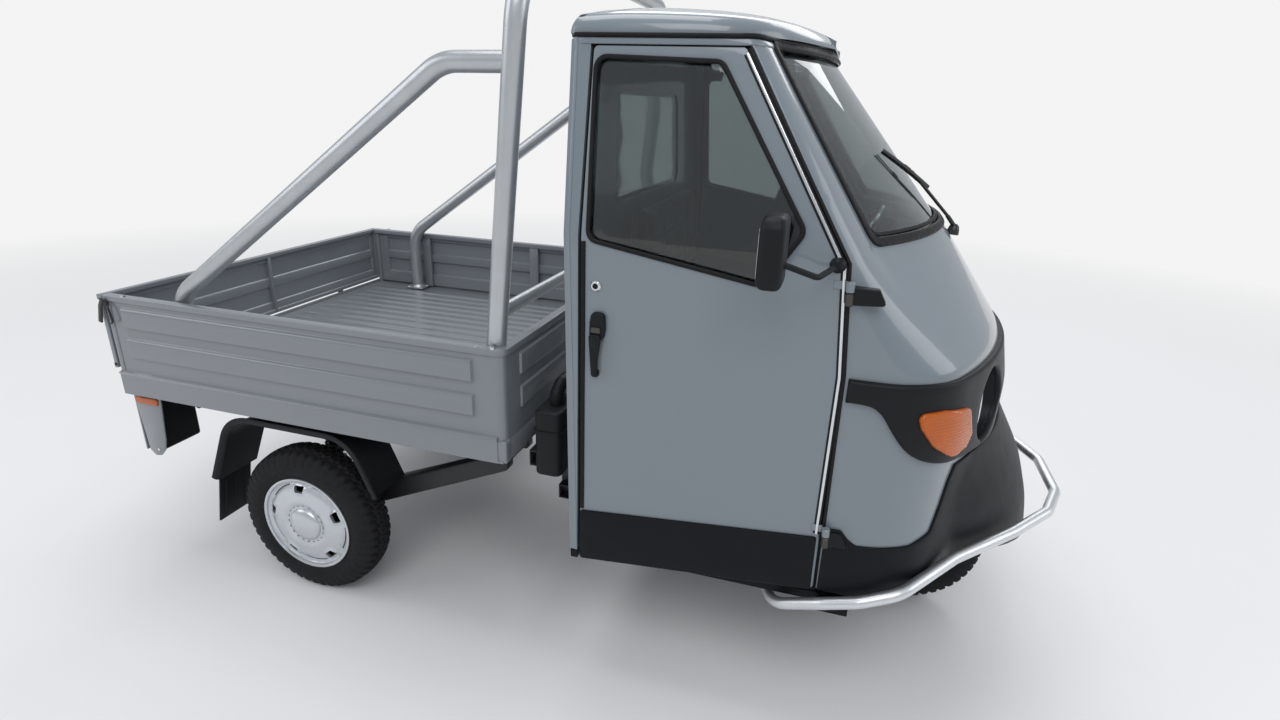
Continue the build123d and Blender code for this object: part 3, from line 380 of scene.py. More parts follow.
def box(x, y, z, radius=2.0, segments=2, matrix=None):
    """A rounded box between two x, two y and two z."""
    work = bmesh.new()
    bmesh.ops.create_cube(work, size=1)
    for v in work.verts:
        v.co = Vector([low + (c + 0.5) * (high - low) for c, (low, high) in zip(v.co, (x, y, z))])
    rounded(work, radius, segments)
    if matrix:
        bmesh.ops.transform(work, matrix=matrix, verts=work.verts[:])
    return from_bmesh(work)


def prism(corners, turn, steps, axis, low, high, radius=2.0, segments=2):
    """A polygon with corners turned on a radius, drawn across an axis, x, y or z, and reaching between two
    places along it, with rounded edges."""
    outline = bent(corners, turn, steps, closed=True)
    place = {"x": lambda u, v, w: (w, u, v), "y": lambda u, v, w: (u, w, v), "z": lambda u, v, w: (u, v, w)}[axis]
    work = bmesh.new()
    ends = [[work.verts.new(place(u, v, w)) for u, v in outline] for w in (low, high)]
    work.faces.new(ends[0])
    work.faces.new(list(reversed(ends[1])))
    count = len(outline)
    for i in range(count):
        j = (i + 1) % count
        work.faces.new((ends[0][j], ends[0][i], ends[1][i], ends[1][j]))
    bmesh.ops.recalc_face_normals(work, faces=work.faces[:])
    rounded(work, radius, segments)
    return from_bmesh(work)


def rectangle(u, v):
    """Corners between two places across and two places up."""
    return [(u[0], v[0]), (u[1], v[0]), (u[1], v[1]), (u[0], v[1])]


def unit(vectors):
    """Vectors of length one in the same directions."""
    vectors = np.asarray(vectors, float)
    return vectors / np.maximum(np.linalg.norm(vectors, axis=-1, keepdims=True), 1e-9)


# A corner whose half angle is above this counts as straight
STRAIGHT = math.radians(88)


def bent(points, radius, steps=7, closed=False):
    """A line or loop whose corners turn on arcs of a radius."""
    points = [np.asarray(p, float) for p in points]
    count = len(points)
    line = []
    for i, corner in enumerate(points):
        if not closed and i in (0, count - 1):
            line.append(corner)
            continue
        before, after = points[i - 1], points[(i + 1) % count]
        way_in, way_out = unit(before - corner), unit(after - corner)
        half = math.acos(float(np.clip(np.dot(way_in, way_out), -1, 1))) / 2
        if half > STRAIGHT:
            line.append(corner)
            continue
        room = 0.49 * min(np.linalg.norm(before - corner), np.linalg.norm(after - corner))
        reach = min(radius / math.tan(half), room)
        centre = corner + unit(way_in + way_out) * (reach * math.tan(half) / math.sin(half))
        first, last = corner + way_in * reach - centre, corner + way_out * reach - centre
        turn = math.pi - 2 * half
        for k in range(steps + 1):
            share = k / steps
            line.append(centre + (math.sin((1 - share) * turn) * first + math.sin(share * turn) * last)
                        / math.sin(turn))
    return np.array(line)


def spread(line, spacing, closed=False):
    """More points on a line's longer stretches."""
    line = np.asarray(line, float)
    ends = np.roll(line, -1, axis=0) if closed else line[1:]
    starts = line if closed else line[:-1]
    result = []
    for a, b in zip(starts, ends):
        count = max(1, int(round(np.linalg.norm(b - a) / spacing)))
        result.extend(a + (b - a) * k / count for k in range(count))
    if not closed:
        result.append(line[-1])
    return np.array(result)


def circle(radius, count=16, squash=1.0):
    """A round section."""
    turns = np.arange(count) * 2 * math.pi / count
    return np.column_stack((radius * np.cos(turns), squash * radius * np.sin(turns)))


def round_rectangle(u, v, radius, steps):
    """A rectangle with rounded corners, as a loop."""
    return bent(rectangle(u, v), radius, steps, closed=True)


def rounded_section(width, height, radius):
    """A rounded rectangle as a section: up, sideways."""
    return round_rectangle((-height / 2, height / 2), (-width / 2, width / 2), radius, 3)


def loop_ways(loop):
    """The direction of a closed loop at each of its points."""
    return unit(np.roll(loop, -1, axis=0) - np.roll(loop, 1, axis=0))


def ring_faces(count, size, closed=True):
    """Faces between rings of points that follow one another, and over both ends if they don't close."""
    faces = []
    for i in range(count if closed else count - 1):
        j = (i + 1) % count
        for k in range(size):
            m = (k + 1) % size
            faces.append((i * size + k, i * size + m, j * size + m, j * size + k))
    if not closed:
        faces.append(tuple(range(size))[::-1])
        faces.append(tuple(range((count - 1) * size, count * size)))
    return faces


def sweep(path, section, closed=False, up=(0, 0, 1), scale=None):
    """A section, given as up and sideways distances, along a path."""
    path = np.asarray(path, float)
    tangents = loop_ways(path) if closed else unit(np.gradient(path, axis=0))
    ups = np.asarray(up, float)
    count = len(path)
    if ups.ndim == 2:
        normals = unit(ups - np.sum(ups * tangents, axis=1, keepdims=True) * tangents)
    else:
        normals = np.zeros_like(path)
        normal = ups
        if abs(np.dot(unit(normal), tangents[0])) > 0.95:
            normal = np.array((1.0, 0.0, 0.0))
        for i in range(count):
            normal = unit(normal - np.dot(normal, tangents[i]) * tangents[i])
            normals[i] = normal
    sideways = np.cross(tangents, normals)
    points = []
    for i in range(count):
        k = 1.0 if scale is None else scale[i]
        points.extend(path[i] + k * u * normals[i] + k * v * sideways[i] for u, v in section)
    return points, ring_faces(count, len(section), closed)


def lathe(profile, centre, axis, count):
    """A closed profile of places along the axis and radii, turned round the axis."""
    axis = unit(axis)
    across = unit(np.cross(axis, (0, 0, 1) if abs(axis[2]) < 0.9 else (1, 0, 0)))
    other = np.cross(axis, across)
    points = []
    for k in range(count):
        turn = 2 * math.pi * k / count
        way = math.cos(turn) * across + math.sin(turn) * other
        points.extend(np.asarray(centre) + a * axis + max(r, 0.01) * way for a, r in profile)
    return points, ring_faces(count, len(profile))


def rod(start, end, radius, count=20, edge=1.0):
    """A round bar with softened ends."""
    start, end = np.asarray(start, float), np.asarray(end, float)
    length = float(np.linalg.norm(end - start))
    edge = min(edge, radius * 0.4, length * 0.3)
    profile = ((0, 0), (0, radius - edge), (edge, radius), (length - edge, radius), (length, radius - edge),
               (length, 0))
    return lathe(profile, start, end - start, count)


def bolt(place, axis, base, top, shoulder, height, count=6):
    """A bolt head: its radii at the base and at the shoulder, the shoulder's height and the whole height."""
    return lathe(((0, 0), (0, base), (shoulder, top), (height, 0)), place, axis, count)


def inside(points, loops):
    """Which points lie inside the first loop and outside the others."""
    result = np.zeros(len(points), bool)
    x, y = points[:, 0], points[:, 1]
    for loop in loops:
        for (x0, y0), (x1, y1) in zip(loop, np.roll(loop, -1, axis=0)):
            if y0 != y1:
                result ^= ((y0 > y) != (y1 > y)) & (x < (x1 - x0) * (y - y0) / (y1 - y0) + x0)
    return result


def distance_to(points, loops):
    """Each point's distance to the nearest loop."""
    nearest = np.full(len(points), 1e9)
    for loop in loops:
        for a, b in zip(loop, np.roll(loop, -1, axis=0)):
            way = b - a
            share = np.clip(((points - a) @ way) / max(way @ way, 1e-12), 0, 1)
            gap = points - a - share[:, None] * way
            nearest = np.minimum(nearest, np.hypot(gap[:, 0], gap[:, 1]))
    return nearest


EDGE_TURNS = np.radians((30, 60, 90))


def panel(place, loops, thickness, edge, pitch, height=0.0, relief=None):
    """A closed sheet on a surface. The first loop is its outline and the others its holes, in the
    surface's own flat coordinates. Its outer face lies at a height, with edges rounded off."""
    loops = [spread(loop, pitch * 0.7, closed=True) for loop in loops]
    for i, loop in enumerate(loops):
        following = np.roll(loop, -1, axis=0)
        area = np.sum(loop[:, 0] * following[:, 1] - following[:, 0] * loop[:, 1])
        if (area > 0) != (i == 0):
            loops[i] = loop[::-1]
    flat, drops, edges = [], [], []
    for loop in loops:
        start, count = len(flat), len(loop)
        flat.extend(loop)
        drops.extend([edge] * count)
        edges.extend((start + k, start + (k + 1) % count) for k in range(count))
    for turn in EDGE_TURNS:
        for loop in loops:
            way = loop_ways(loop)
            flat.extend(loop + np.column_stack((-way[:, 1], way[:, 0])) * edge * (1 - math.cos(turn)))
            drops.extend([edge * (1 - math.sin(turn))] * len(loop))
    low, high = np.min(loops[0], axis=0), np.max(loops[0], axis=0)
    columns = np.arange(low[0], high[0], pitch)
    rows = np.arange(low[1], high[1], pitch * 0.87)
    grid = np.array([(x + (k % 2) * pitch / 2, y) for k, y in enumerate(rows) for x in columns])
    grid = grid[inside(grid, loops)]
    grid = grid[distance_to(grid, loops) > edge + pitch * 0.5]
    flat.extend(grid)
    drops.extend([0.0] * len(grid))
    found = delaunay_2d_cdt([Vector(p) for p in flat], edges, [], 0, 1e-4)
    points = np.array([tuple(v) for v in found[0]])
    at = {i: k for k, ids in enumerate(found[3]) for i in ids}
    drops = np.array([drops[ids[0]] for ids in found[3]])
    triangles = np.array([f for f in found[2] if len(f) == 3])
    triangles = triangles[inside(points[triangles].mean(axis=1), loops)].tolist()
    shift = relief(points) if relief else 0.0
    front = place(points, height + shift - drops)
    back = place(points, np.full(len(points), height - thickness))
    size = len(points)
    faces = [tuple(t) for t in triangles] + [tuple(i + size for i in reversed(t)) for t in triangles]
    for i, j in edges:
        i, j = at[i], at[j]
        if i != j:
            faces.append((j, i, i + size, j + size))
    return list(front) + list(back), faces


class Skin:
    """An upright hull: its radius for each angle about a vertical axis and each height, creases softened.
    Its flat coordinates are the angle times SPREAD, and the height."""

    AXIS_X = 300
    SPREAD = 600
    STEP_Z = 5
    STEP_ANGLE = 0.5
    # How far the hull goes on below its first row and above its last
    MARGIN = 80
    # Reach of the differences that give the outward direction, as an angle and a height
    NEAR_TURN, NEAR_Z = 0.012, 7
    # Degrees from the front within which an x or a y is looked for, and the number of halvings
    LIMITS, HALVINGS = (130, 75), 40

    def __init__(self, rows, soft_z, soft_angle):
        rows = np.array(rows, float)
        below = rows[0] + (rows[0] - rows[1]) * self.MARGIN / (rows[1][0] - rows[0][0])
        above = rows[-1] + (rows[-1] - rows[-2]) * self.MARGIN / (rows[-1][0] - rows[-2][0])
        rows = np.vstack((below, rows, above))
        self.heights = np.arange(rows[0][0], rows[-1][0], self.STEP_Z)
        self.degrees = np.arange(-180, 180 + self.STEP_ANGLE, self.STEP_ANGLE)
        table = []
        for z in self.heights:
            line = self.outline([np.interp(z, rows[:, 0], column) for column in rows[:, 1:].T])
            turns = np.degrees(np.arctan2(line[:, 1], line[:, 0] - self.AXIS_X))
            radii = np.hypot(line[:, 0] - self.AXIS_X, line[:, 1])
            order = np.argsort(turns)
            table.append(np.interp(np.abs(self.degrees), turns[order], radii[order]))
        table = np.array(table)
        for size, axis, step in ((soft_z, 0, self.STEP_Z), (soft_angle, 1, self.STEP_ANGLE)):
            reach = int(round(3 * size / step))
            weights = np.exp(-0.5 * (np.arange(-reach, reach + 1) * step / size) ** 2)
            weights /= weights.sum()
            padded = np.pad(table, [(reach, reach) if a == axis else (0, 0) for a in (0, 1)],
                            mode="reflect", reflect_type="odd" if axis == 0 else "even")
            table = np.apply_along_axis(lambda line: np.convolve(line, weights, "valid"), axis, padded)
        self.table = table

    @staticmethod
    def arc(start, middle, end, count=40):
        """Points of the circle's arc through three points."""
        (ax, ay), (bx, by), (cx, cy) = start, middle, end
        d = 2 * (ax * (by - cy) + bx * (cy - ay) + cx * (ay - by))
        ux = ((ax**2 + ay**2) * (by - cy) + (bx**2 + by**2) * (cy - ay) + (cx**2 + cy**2) * (ay - by)) / d
        uy = ((ax**2 + ay**2) * (cx - bx) + (bx**2 + by**2) * (ax - cx) + (cx**2 + cy**2) * (bx - ax)) / d
        first, last = math.atan2(ay - uy, ax - ux), math.atan2(cy - uy, cx - ux)
        radius = math.hypot(ax - ux, ay - uy)
        turns = np.linspace(first, last, count)
        return np.column_stack((ux + radius * np.cos(turns), uy + radius * np.sin(turns)))

    def outline(self, row):
        """Half of the plan outline, from the middle of the rear to the middle of the front."""
        rear_x, side_y, bend_x, corner_x, corner_y, bulge, front_x = row
        turn = math.atan2(side_y - corner_y, corner_x - bend_x)
        middle = ((bend_x + corner_x) / 2 + bulge * math.sin(turn),
                  (side_y + corner_y) / 2 + bulge * math.cos(turn))
        rear = np.linspace((rear_x, 0), (rear_x, side_y), 60)
        side = np.linspace((rear_x, side_y), (bend_x, side_y), 60)
        bend = self.arc((bend_x, side_y), middle, (corner_x, corner_y))
        front = self.arc((corner_x, corner_y), (front_x, 0), (corner_x, -corner_y), 160)[:80]
        return np.vstack((rear, side, bend, front, [(front_x, 0)]))

    def radius(self, turn, z):
        """Radius at angles in radians and heights."""
        row = np.clip((z - self.heights[0]) / self.STEP_Z, 0, len(self.heights) - 1.001)
        column = np.clip((np.degrees(turn) + 180) / self.STEP_ANGLE, 0, len(self.degrees) - 1.001)
        i, j = row.astype(int), column.astype(int)
        u, v = row - i, column - j
        t = self.table
        return (1 - u) * ((1 - v) * t[i, j] + v * t[i, j + 1]) + u * ((1 - v) * t[i + 1, j] + v * t[i + 1, j + 1])

    def at(self, turn, z):
        radius = self.radius(turn, z)
        return np.column_stack((self.AXIS_X + radius * np.cos(turn), radius * np.sin(turn), z))

    def normal(self, turn, z):
        """The outward direction."""
        across = self.at(turn + self.NEAR_TURN, z) - self.at(turn - self.NEAR_TURN, z)
        up = self.at(turn, z + self.NEAR_Z) - self.at(turn, z - self.NEAR_Z)
        return unit(np.cross(across, up))

    def place(self, flat, offset):
        """Points over the surface."""
        flat = np.asarray(flat, float)
        turn, z = flat[:, 0] / self.SPREAD, flat[:, 1]
        return self.at(turn, z) + self.normal(turn, z) * np.asarray(offset, float).reshape(-1, 1)

    def solve(self, wanted, z, axis, sign):
        """Angle at which the surface has an x (axis 0) or a y (axis 1)."""
        low, high = np.zeros(len(z)), np.full(len(z), math.radians(self.LIMITS[axis]))
        for _ in range(self.HALVINGS):
            middle = (low + high) / 2
            value = self.at(middle, z)[:, axis]
            beyond = value > wanted if axis else value < wanted
            high = np.where(beyond, middle, high)
            low = np.where(beyond, low, middle)
        return sign * (low + high) / 2

    def from_side(self, line, sign, spacing=12, closed=False):
        """A side view line of x, z in flat coordinates."""
        line = spread(line, spacing, closed)
        return np.column_stack((self.solve(line[:, 0], line[:, 1], 0, sign) * self.SPREAD, line[:, 1]))

    def from_front(self, line, spacing=12, closed=False):
        """A front view line of y, z in flat coordinates."""
        line = spread(line, spacing, closed)
        turn = self.solve(np.abs(line[:, 0]), line[:, 1], 1, 1) * np.sign(line[:, 0])
        return np.column_stack((turn * self.SPREAD, line[:, 1]))

    def side_loop(self, line, radius, steps, sign, spacing=13):
        """A side view loop with rounded corners, in flat coordinates."""
        return self.from_side(bent(line, radius, steps, closed=True), sign, spacing, closed=True)

    def front_loop(self, line, radius, steps):
        """A front view loop with rounded corners, in flat coordinates."""
        return self.from_front(bent(line, radius, steps, closed=True), 14, closed=True)

    def bead(self, flat, section, offset=0.0, closed=True):
        """A section swept along a line on the surface."""
        flat = np.asarray(flat, float)
        return sweep(self.place(flat, offset), section, closed, self.normal(flat[:, 0] / self.SPREAD, flat[:, 1]))


def both(line):
    """A line on the right, joined with its mirror image on the left into a loop."""
    return np.vstack((line, [(-a, z) for a, z in line[::-1]]))


# Cab skin: z, rear x, side y, bend x, corner x, corner y, bulge, front x, in millimetres
CAB_ROWS = ((330, 115, 590, 755, 882, 520, 13, 1044), (770, 106, 590, 755, 882, 520, 13, 1041),
            (880, 104, 590, 752, 874, 518, 13, 1016), (1091, 99, 590, 650, 690, 477, 12, 862),
            (1462, 88, 521, 430, 448, 438, 8, 552))
APRON_ROWS = ((300, 115, 585, 735, 905, 420, 26, 1198), (430, 115, 596, 752, 920, 430, 26, 1176),
              (540, 115, 596, 756, 912, 466, 22, 1138), (668, 115, 596, 760, 900, 486, 18, 1064))
SHELL = Skin(CAB_ROWS, 10, 1.3)
FAIRING = Skin(APRON_ROWS, 16, 2.5)
# The fairing lies over the painted skin wherever that stands further out
FAIRING_GAP = 5
FAIRING.table = np.maximum(FAIRING.table, FAIRING_GAP + np.array([
    SHELL.radius(np.radians(FAIRING.degrees), np.full(len(FAIRING.degrees), z)) for z in FAIRING.heights]))
# Thickness and edge radius of the painted skin and of the panes
SKIN_SHEET, PANE_SHEET = (24, 2.5), (5, 1)
LAMP_Y, LAMP_Z = 352, 766
# Side view and front view outlines
DOOR_LINE = ((137, 335), (668, 383), (662, 870), (644, 1078), (424, 1438), (137, 1438))
WINDOW_LINE = ((152, 1084), (500, 1026), (566, 1131), (384, 1413), (143, 1419))
CLADDING_LINE = ((139, 335), (663, 383), (661, 512), (139, 464))
GAP_LINE = ((131, 345), (673, 378), (668, 871), (650, 1080), (428, 1444), (131, 1444))
LOCK_PLACE = (170, 590, 992)
SCREEN_LINE = ((-474, 1103), (474, 1103), (447, 1449), (-447, 1449))
MASK_LINE = ((677, 867), (677, 821), (719, 819), (738, 810), (752, 795), (769, 769), (797, 733), (830, 710),
             (870, 697), (909, 690), (940, 684), (990, 668))


def smooth_line(points, steps):
    """A smooth line through points."""
    points = np.array(points, float)
    last = len(points) - 1
    result = []
    for i in range(last):
        a, b, c, d = points[np.clip(range(i - 1, i + 3), 0, last)]
        for s in np.arange(steps) / steps:
            result.append(0.5 * (2 * b + (c - a) * s + (2 * a - 5 * b + 4 * c - d) * s**2
                                 + (3 * b - a - 3 * c + d) * s**3))
    return np.array([*result, points[last]])


def lamp_rings(radius):
    """Circles round both lamps, in the shell's flat coordinates."""
    return [SHELL.from_front(circle(radius, 40) + np.array((sign * LAMP_Y, LAMP_Z)), 14, closed=True)
            for sign in SIGNS]


def rear_place(flat, offset):
    """Points over the cab's rear wall, from y at the waist and z."""
    z = flat[:, 1]
    x = np.interp(z, (330, 1462), (115, 88))
    y = flat[:, 0] * np.interp(z, (330, 1091, 1462), (1, 1, 521 / 590))
    return np.column_stack((x - offset, y, z))


def add_cab():
    """Painted nose and rear wall, with the glass and its seals."""
    side = [(424, 1457), (650, 1082), (668, 874), (674, 386), (745, 386), (745, 505)]
    screen = SHELL.front_loop(SCREEN_LINE, 20, 8)
    nose = panel(SHELL.place, [both(SHELL.from_side(side, -1)), screen, *lamp_rings(82)], *SKIN_SHEET, 17)
    piece("cab_nose_shell", [nose], "body_paint", nodes=["cab_nose"])
    glass_line = SHELL.front_loop([(y * 1.01, z) for y, z in SCREEN_LINE], 18, 8)
    glass = panel(SHELL.place, [glass_line], *PANE_SHEET, 24, height=-7)
    piece("windscreen_glass", [glass], "tinted_glass", nodes=["windscreen"])
    seal = SHELL.bead(screen, rounded_section(20, 10, 4), offset=0.5)
    lip_line = bent([(-432, 1440), (-457, 1117), (457, 1117), (432, 1440)], 16, 8)
    lip = SHELL.bead(SHELL.from_front(lip_line, 14), rounded_section(9, 5, 2), -3, False)
    rubber_piece("windscreen_seal", [seal, lip])

    hole = round_rectangle((-310, 310), (1115, 1365), 40, 6)
    rear = panel(rear_place, [np.array(rectangle((-590, 590), (352, 1452)), float), hole], 16, 13, 34)
    posts = []
    for sign in SIGNS:
        points = [(px, sign * py, z) for x, y, z in ((112, 589, 352), (100, 589, 1091), (91, 523, 1447))
                  for px, py in ((x, y), (130.5, y), (130.5, y - 26), (x, y - 26))]
        posts.append((points, ring_faces(3, 4, False)))
    piece("cab_rear_shell", [rear, *posts], "body_paint", nodes=["cab_rear_wall"])
    pane = panel(rear_place, [round_rectangle((-316, 316), (1109, 1371), 44, 6)], *PANE_SHEET, 60, height=-7)
    piece("rear_window_glass", [pane], "tinted_glass", nodes=["rear_window"])
    rim = spread(hole, 25, closed=True)
    seal = sweep(rear_place(rim, 0.0), rounded_section(22, 10, 4), True, np.tile((-1.0, 0, 0), (len(rim), 1)))
    rubber_piece("rear_window_seal", [seal])


# Roof arches: x, half width, crown z, shoulder z
ROOF_ARCHES = ((82, 515, 1539, 1488), (200, 523, 1546, 1491), (370, 500, 1535, 1489), (480, 400, 1514, 1486),
               (562, 150, 1489, 1480))
ROOF_BASES = ((82, 1458), (400, 1459), (567, 1464))
ROOF_CENTRE = (240.0, 0.0)
ROOF_RIM = 26
ROOF_RIM_STEPS = (0, 0.5, 2, 4.5, 8, 13, 19, ROOF_RIM)


def add_roof():
    """Arched roof with a rounded rim, the band under it and the black gutter between."""
    rows = smooth_line(ROOF_ARCHES, 10)
    right = bent([(82, 0), (82, 515), *[(x, w) for x, w, _, _ in rows[3:]], (562, 150), (562, 0)], 26, 6)
    loop = spread(np.vstack((right, [(x, -y) for x, y in right[::-1][1:-1]])), 12, closed=True)
    way = loop_ways(loop)
    inward = np.column_stack((way[:, 1], -way[:, 0]))
    centre = np.array(ROOF_CENTRE)
    if np.sum((centre - loop[0]) * inward[0]) < 0:
        inward = -inward

    def height(points, d):
        x, y = points[:, 0], points[:, 1]
        half, crown, shoulder = (np.interp(x, rows[:, 0], rows[:, k]) for k in (1, 2, 3))
        arch = crown - (crown - shoulder) * np.clip(np.abs(y) / half, 0, 1) ** 2
        rim = math.sqrt(1 - (1 - d / ROOF_RIM) ** 2)
        base = np.interp(x, *np.array(ROOF_BASES).T)
        return base + (arch - base) * rim

    rings = [(loop + inward * d, d) for d in ROOF_RIM_STEPS]
    inner = rings[-1][0]
    rings += [(inner + (centre - inner) * share, ROOF_RIM) for share in np.linspace(0.06, 0.97, 18)]
    points = np.vstack([np.column_stack((ring, height(ring, d))) for ring, d in rings])
    panel_shape = points, ring_faces(len(rings), len(loop), False)
    turns = np.linspace(-np.pi, np.pi, 240, endpoint=False) * SHELL.SPREAD
    rim = np.column_stack((turns, np.full(len(turns), 1446.0)))
    band = SHELL.bead(rim, rounded_section(12, 5, 2), offset=-0.5)
    piece("roof_panel", [panel_shape], "body_paint", nodes=["cab_roof"])
    piece("roof_band", [band], "body_paint")
    gutter = SHELL.bead(rim + np.array((0, 9.5)), rounded_section(8, 12, 3), offset=1.2)
    rubber_piece("roof_gutter", [gutter])


def add_doors():
    """Both doors: skin, pane, seals, edge strips, cladding, handle, lock and mirror."""
    for side, sign in SIDES:
        body = f"door_{side}_body"
        window = SHELL.side_loop(WINDOW_LINE, 22, 6, sign)
        groove = SHELL.from_side(bent([(634, 1029), (601, 1028), (631, 534), (652, 534)], 14, 5), sign)
        groove_line = np.vstack((groove, groove[::-1]))

        def grooved(flat):
            return -1.6 * np.exp(-(distance_to(flat, [groove_line]) / 3.2) ** 2)
        outline = SHELL.side_loop(DOOR_LINE, 9, 4, sign)
        skin = panel(SHELL.place, [outline, window], *SKIN_SHEET, 9, relief=grooved)
        piece(f"door_skin_{side}", [skin], "body_paint", body, [f"door_{side}"])
        gap = SHELL.bead(SHELL.side_loop(GAP_LINE, 9, 4, sign, 14), rounded_section(13, 12, 2), -16)
        edge = SHELL.bead(SHELL.from_side([(672, 540), (668, 872), (650, 1082), (431, 1436)], sign),
                          rounded_section(7, 7, 3), 0, False)
        rubber_piece(f"door_gap_seal_{side}", [gap, edge])
        pane = panel(SHELL.place, [SHELL.side_loop(WINDOW_LINE, 20, 6, sign)], *PANE_SHEET, 26, height=-6)
        piece(f"door_pane_{side}", [pane], "tinted_glass", body, [f"door_glass_{side}"])
        seal = SHELL.bead(window, rounded_section(9, 8, 3))
        front_line = SHELL.from_side([(659, 520), (660, 866), (642, 1074), (427, 1427)], sign)
        backing = SHELL.bead(front_line, rounded_section(13, 2.6, 1), 0.3, False)
        rubber_piece(f"door_window_seal_{side}", [seal, backing], body)
        rear_line = SHELL.from_side([(143, 470), (143, 1080)], sign)
        rear_strip = SHELL.bead(rear_line, rounded_section(9, 5, 2), 1, False)
        rubber_piece(f"door_rear_strip_{side}", [rear_strip], body)
        front_strip = SHELL.bead(front_line, rounded_section(5.5, 2.8, 1), 1.6, False)
        piece(f"door_front_strip_{side}", [front_strip], "polished_steel", body)
        cladding = panel(SHELL.place, [SHELL.side_loop(CLADDING_LINE, 6, 3, sign)], 7, 3, 30, height=6)
        piece(f"door_cladding_panel_{side}", [cladding], "black_plastic", body, [f"door_cladding_{side}"],
              look="deep_plastic")

        head = prism([(160, 880), (190, 880), (194, 905), (192, 939), (164, 939), (160, 918)], 11, 6,
                     "y", 589, 602, 4, 3)
        head_rim = round_rectangle((163, 187), (884, 911), 4, 4)
        rim = sweep([(x, 601.5, z) for x, z in head_rim], circle(2.2, 8), True)
        lever = prism([(160, 893), (186, 893), (184, 872), (179, 838), (178, 801), (167, 801), (164, 838)], 6, 5,
                      "y", 596, 607, 3.5, 3)
        grip = prism([(164, 889), (182, 889), (180, 868), (166, 868)], 5, 4, "y", 605, 608, 1.2)
        foot = prism(rectangle((166, 180), (798, 814)), 5, 4, "y", 589, 600, 1.5)
        core = lathe(((2, 0), (2, 5.4), (3.4, 5.0), (3.6, 0)), LOCK_PLACE, (0, 1, 0), 20)
        push = prism(rectangle((165, 185), (897, 909)), 3, 3, "y", 600, 605, 1.2)
        lock_profile = ((0, 0), (0, 11), (2.5, 11), (4.6, 9), (4.6, 6), (2.5, 5), (2.5, 0))
        lock = lathe(lock_profile, LOCK_PLACE, (0, 1, 0), 28)
        housing = prism(rectangle((657, 751), (1053, 1177)), 26, 7, "x", 502, 545, 13, 5)
        arm = sweep(bent([(541, 704, 1095), (600, 660, 1068), (628, 594, 1078)], 26, 6), circle(5.5, 14))
        socket = lathe(((0, 0), (0, 15), (3, 15), (10, 9), (16, 7), (16, 0)), (630, 588, 1079), (0, 1, 0.1), 24)
        face = prism(rectangle((669, 739), (1065, 1165)), 18, 6, "x", 501.5, 505, 0.8)
        for name, shapes, slot, nodes, look in (
                ("door_pull", (head, rim, lever, grip, foot, core), "black_plastic", [f"door_handle_{side}"], None),
                ("door_push", (push,), "dark_steel", (), None),
                ("door_lock", (lock,), "polished_steel", (), None),
                ("mirror_housing", (housing, arm, socket), "black_plastic", [f"mirror_{side}"], None),
                ("mirror_face", (face,), "polished_steel", (), "mirror_glass")):
            piece(f"{name}_{side}", [on_side(shape, sign) for shape in shapes], slot, body, nodes, look)


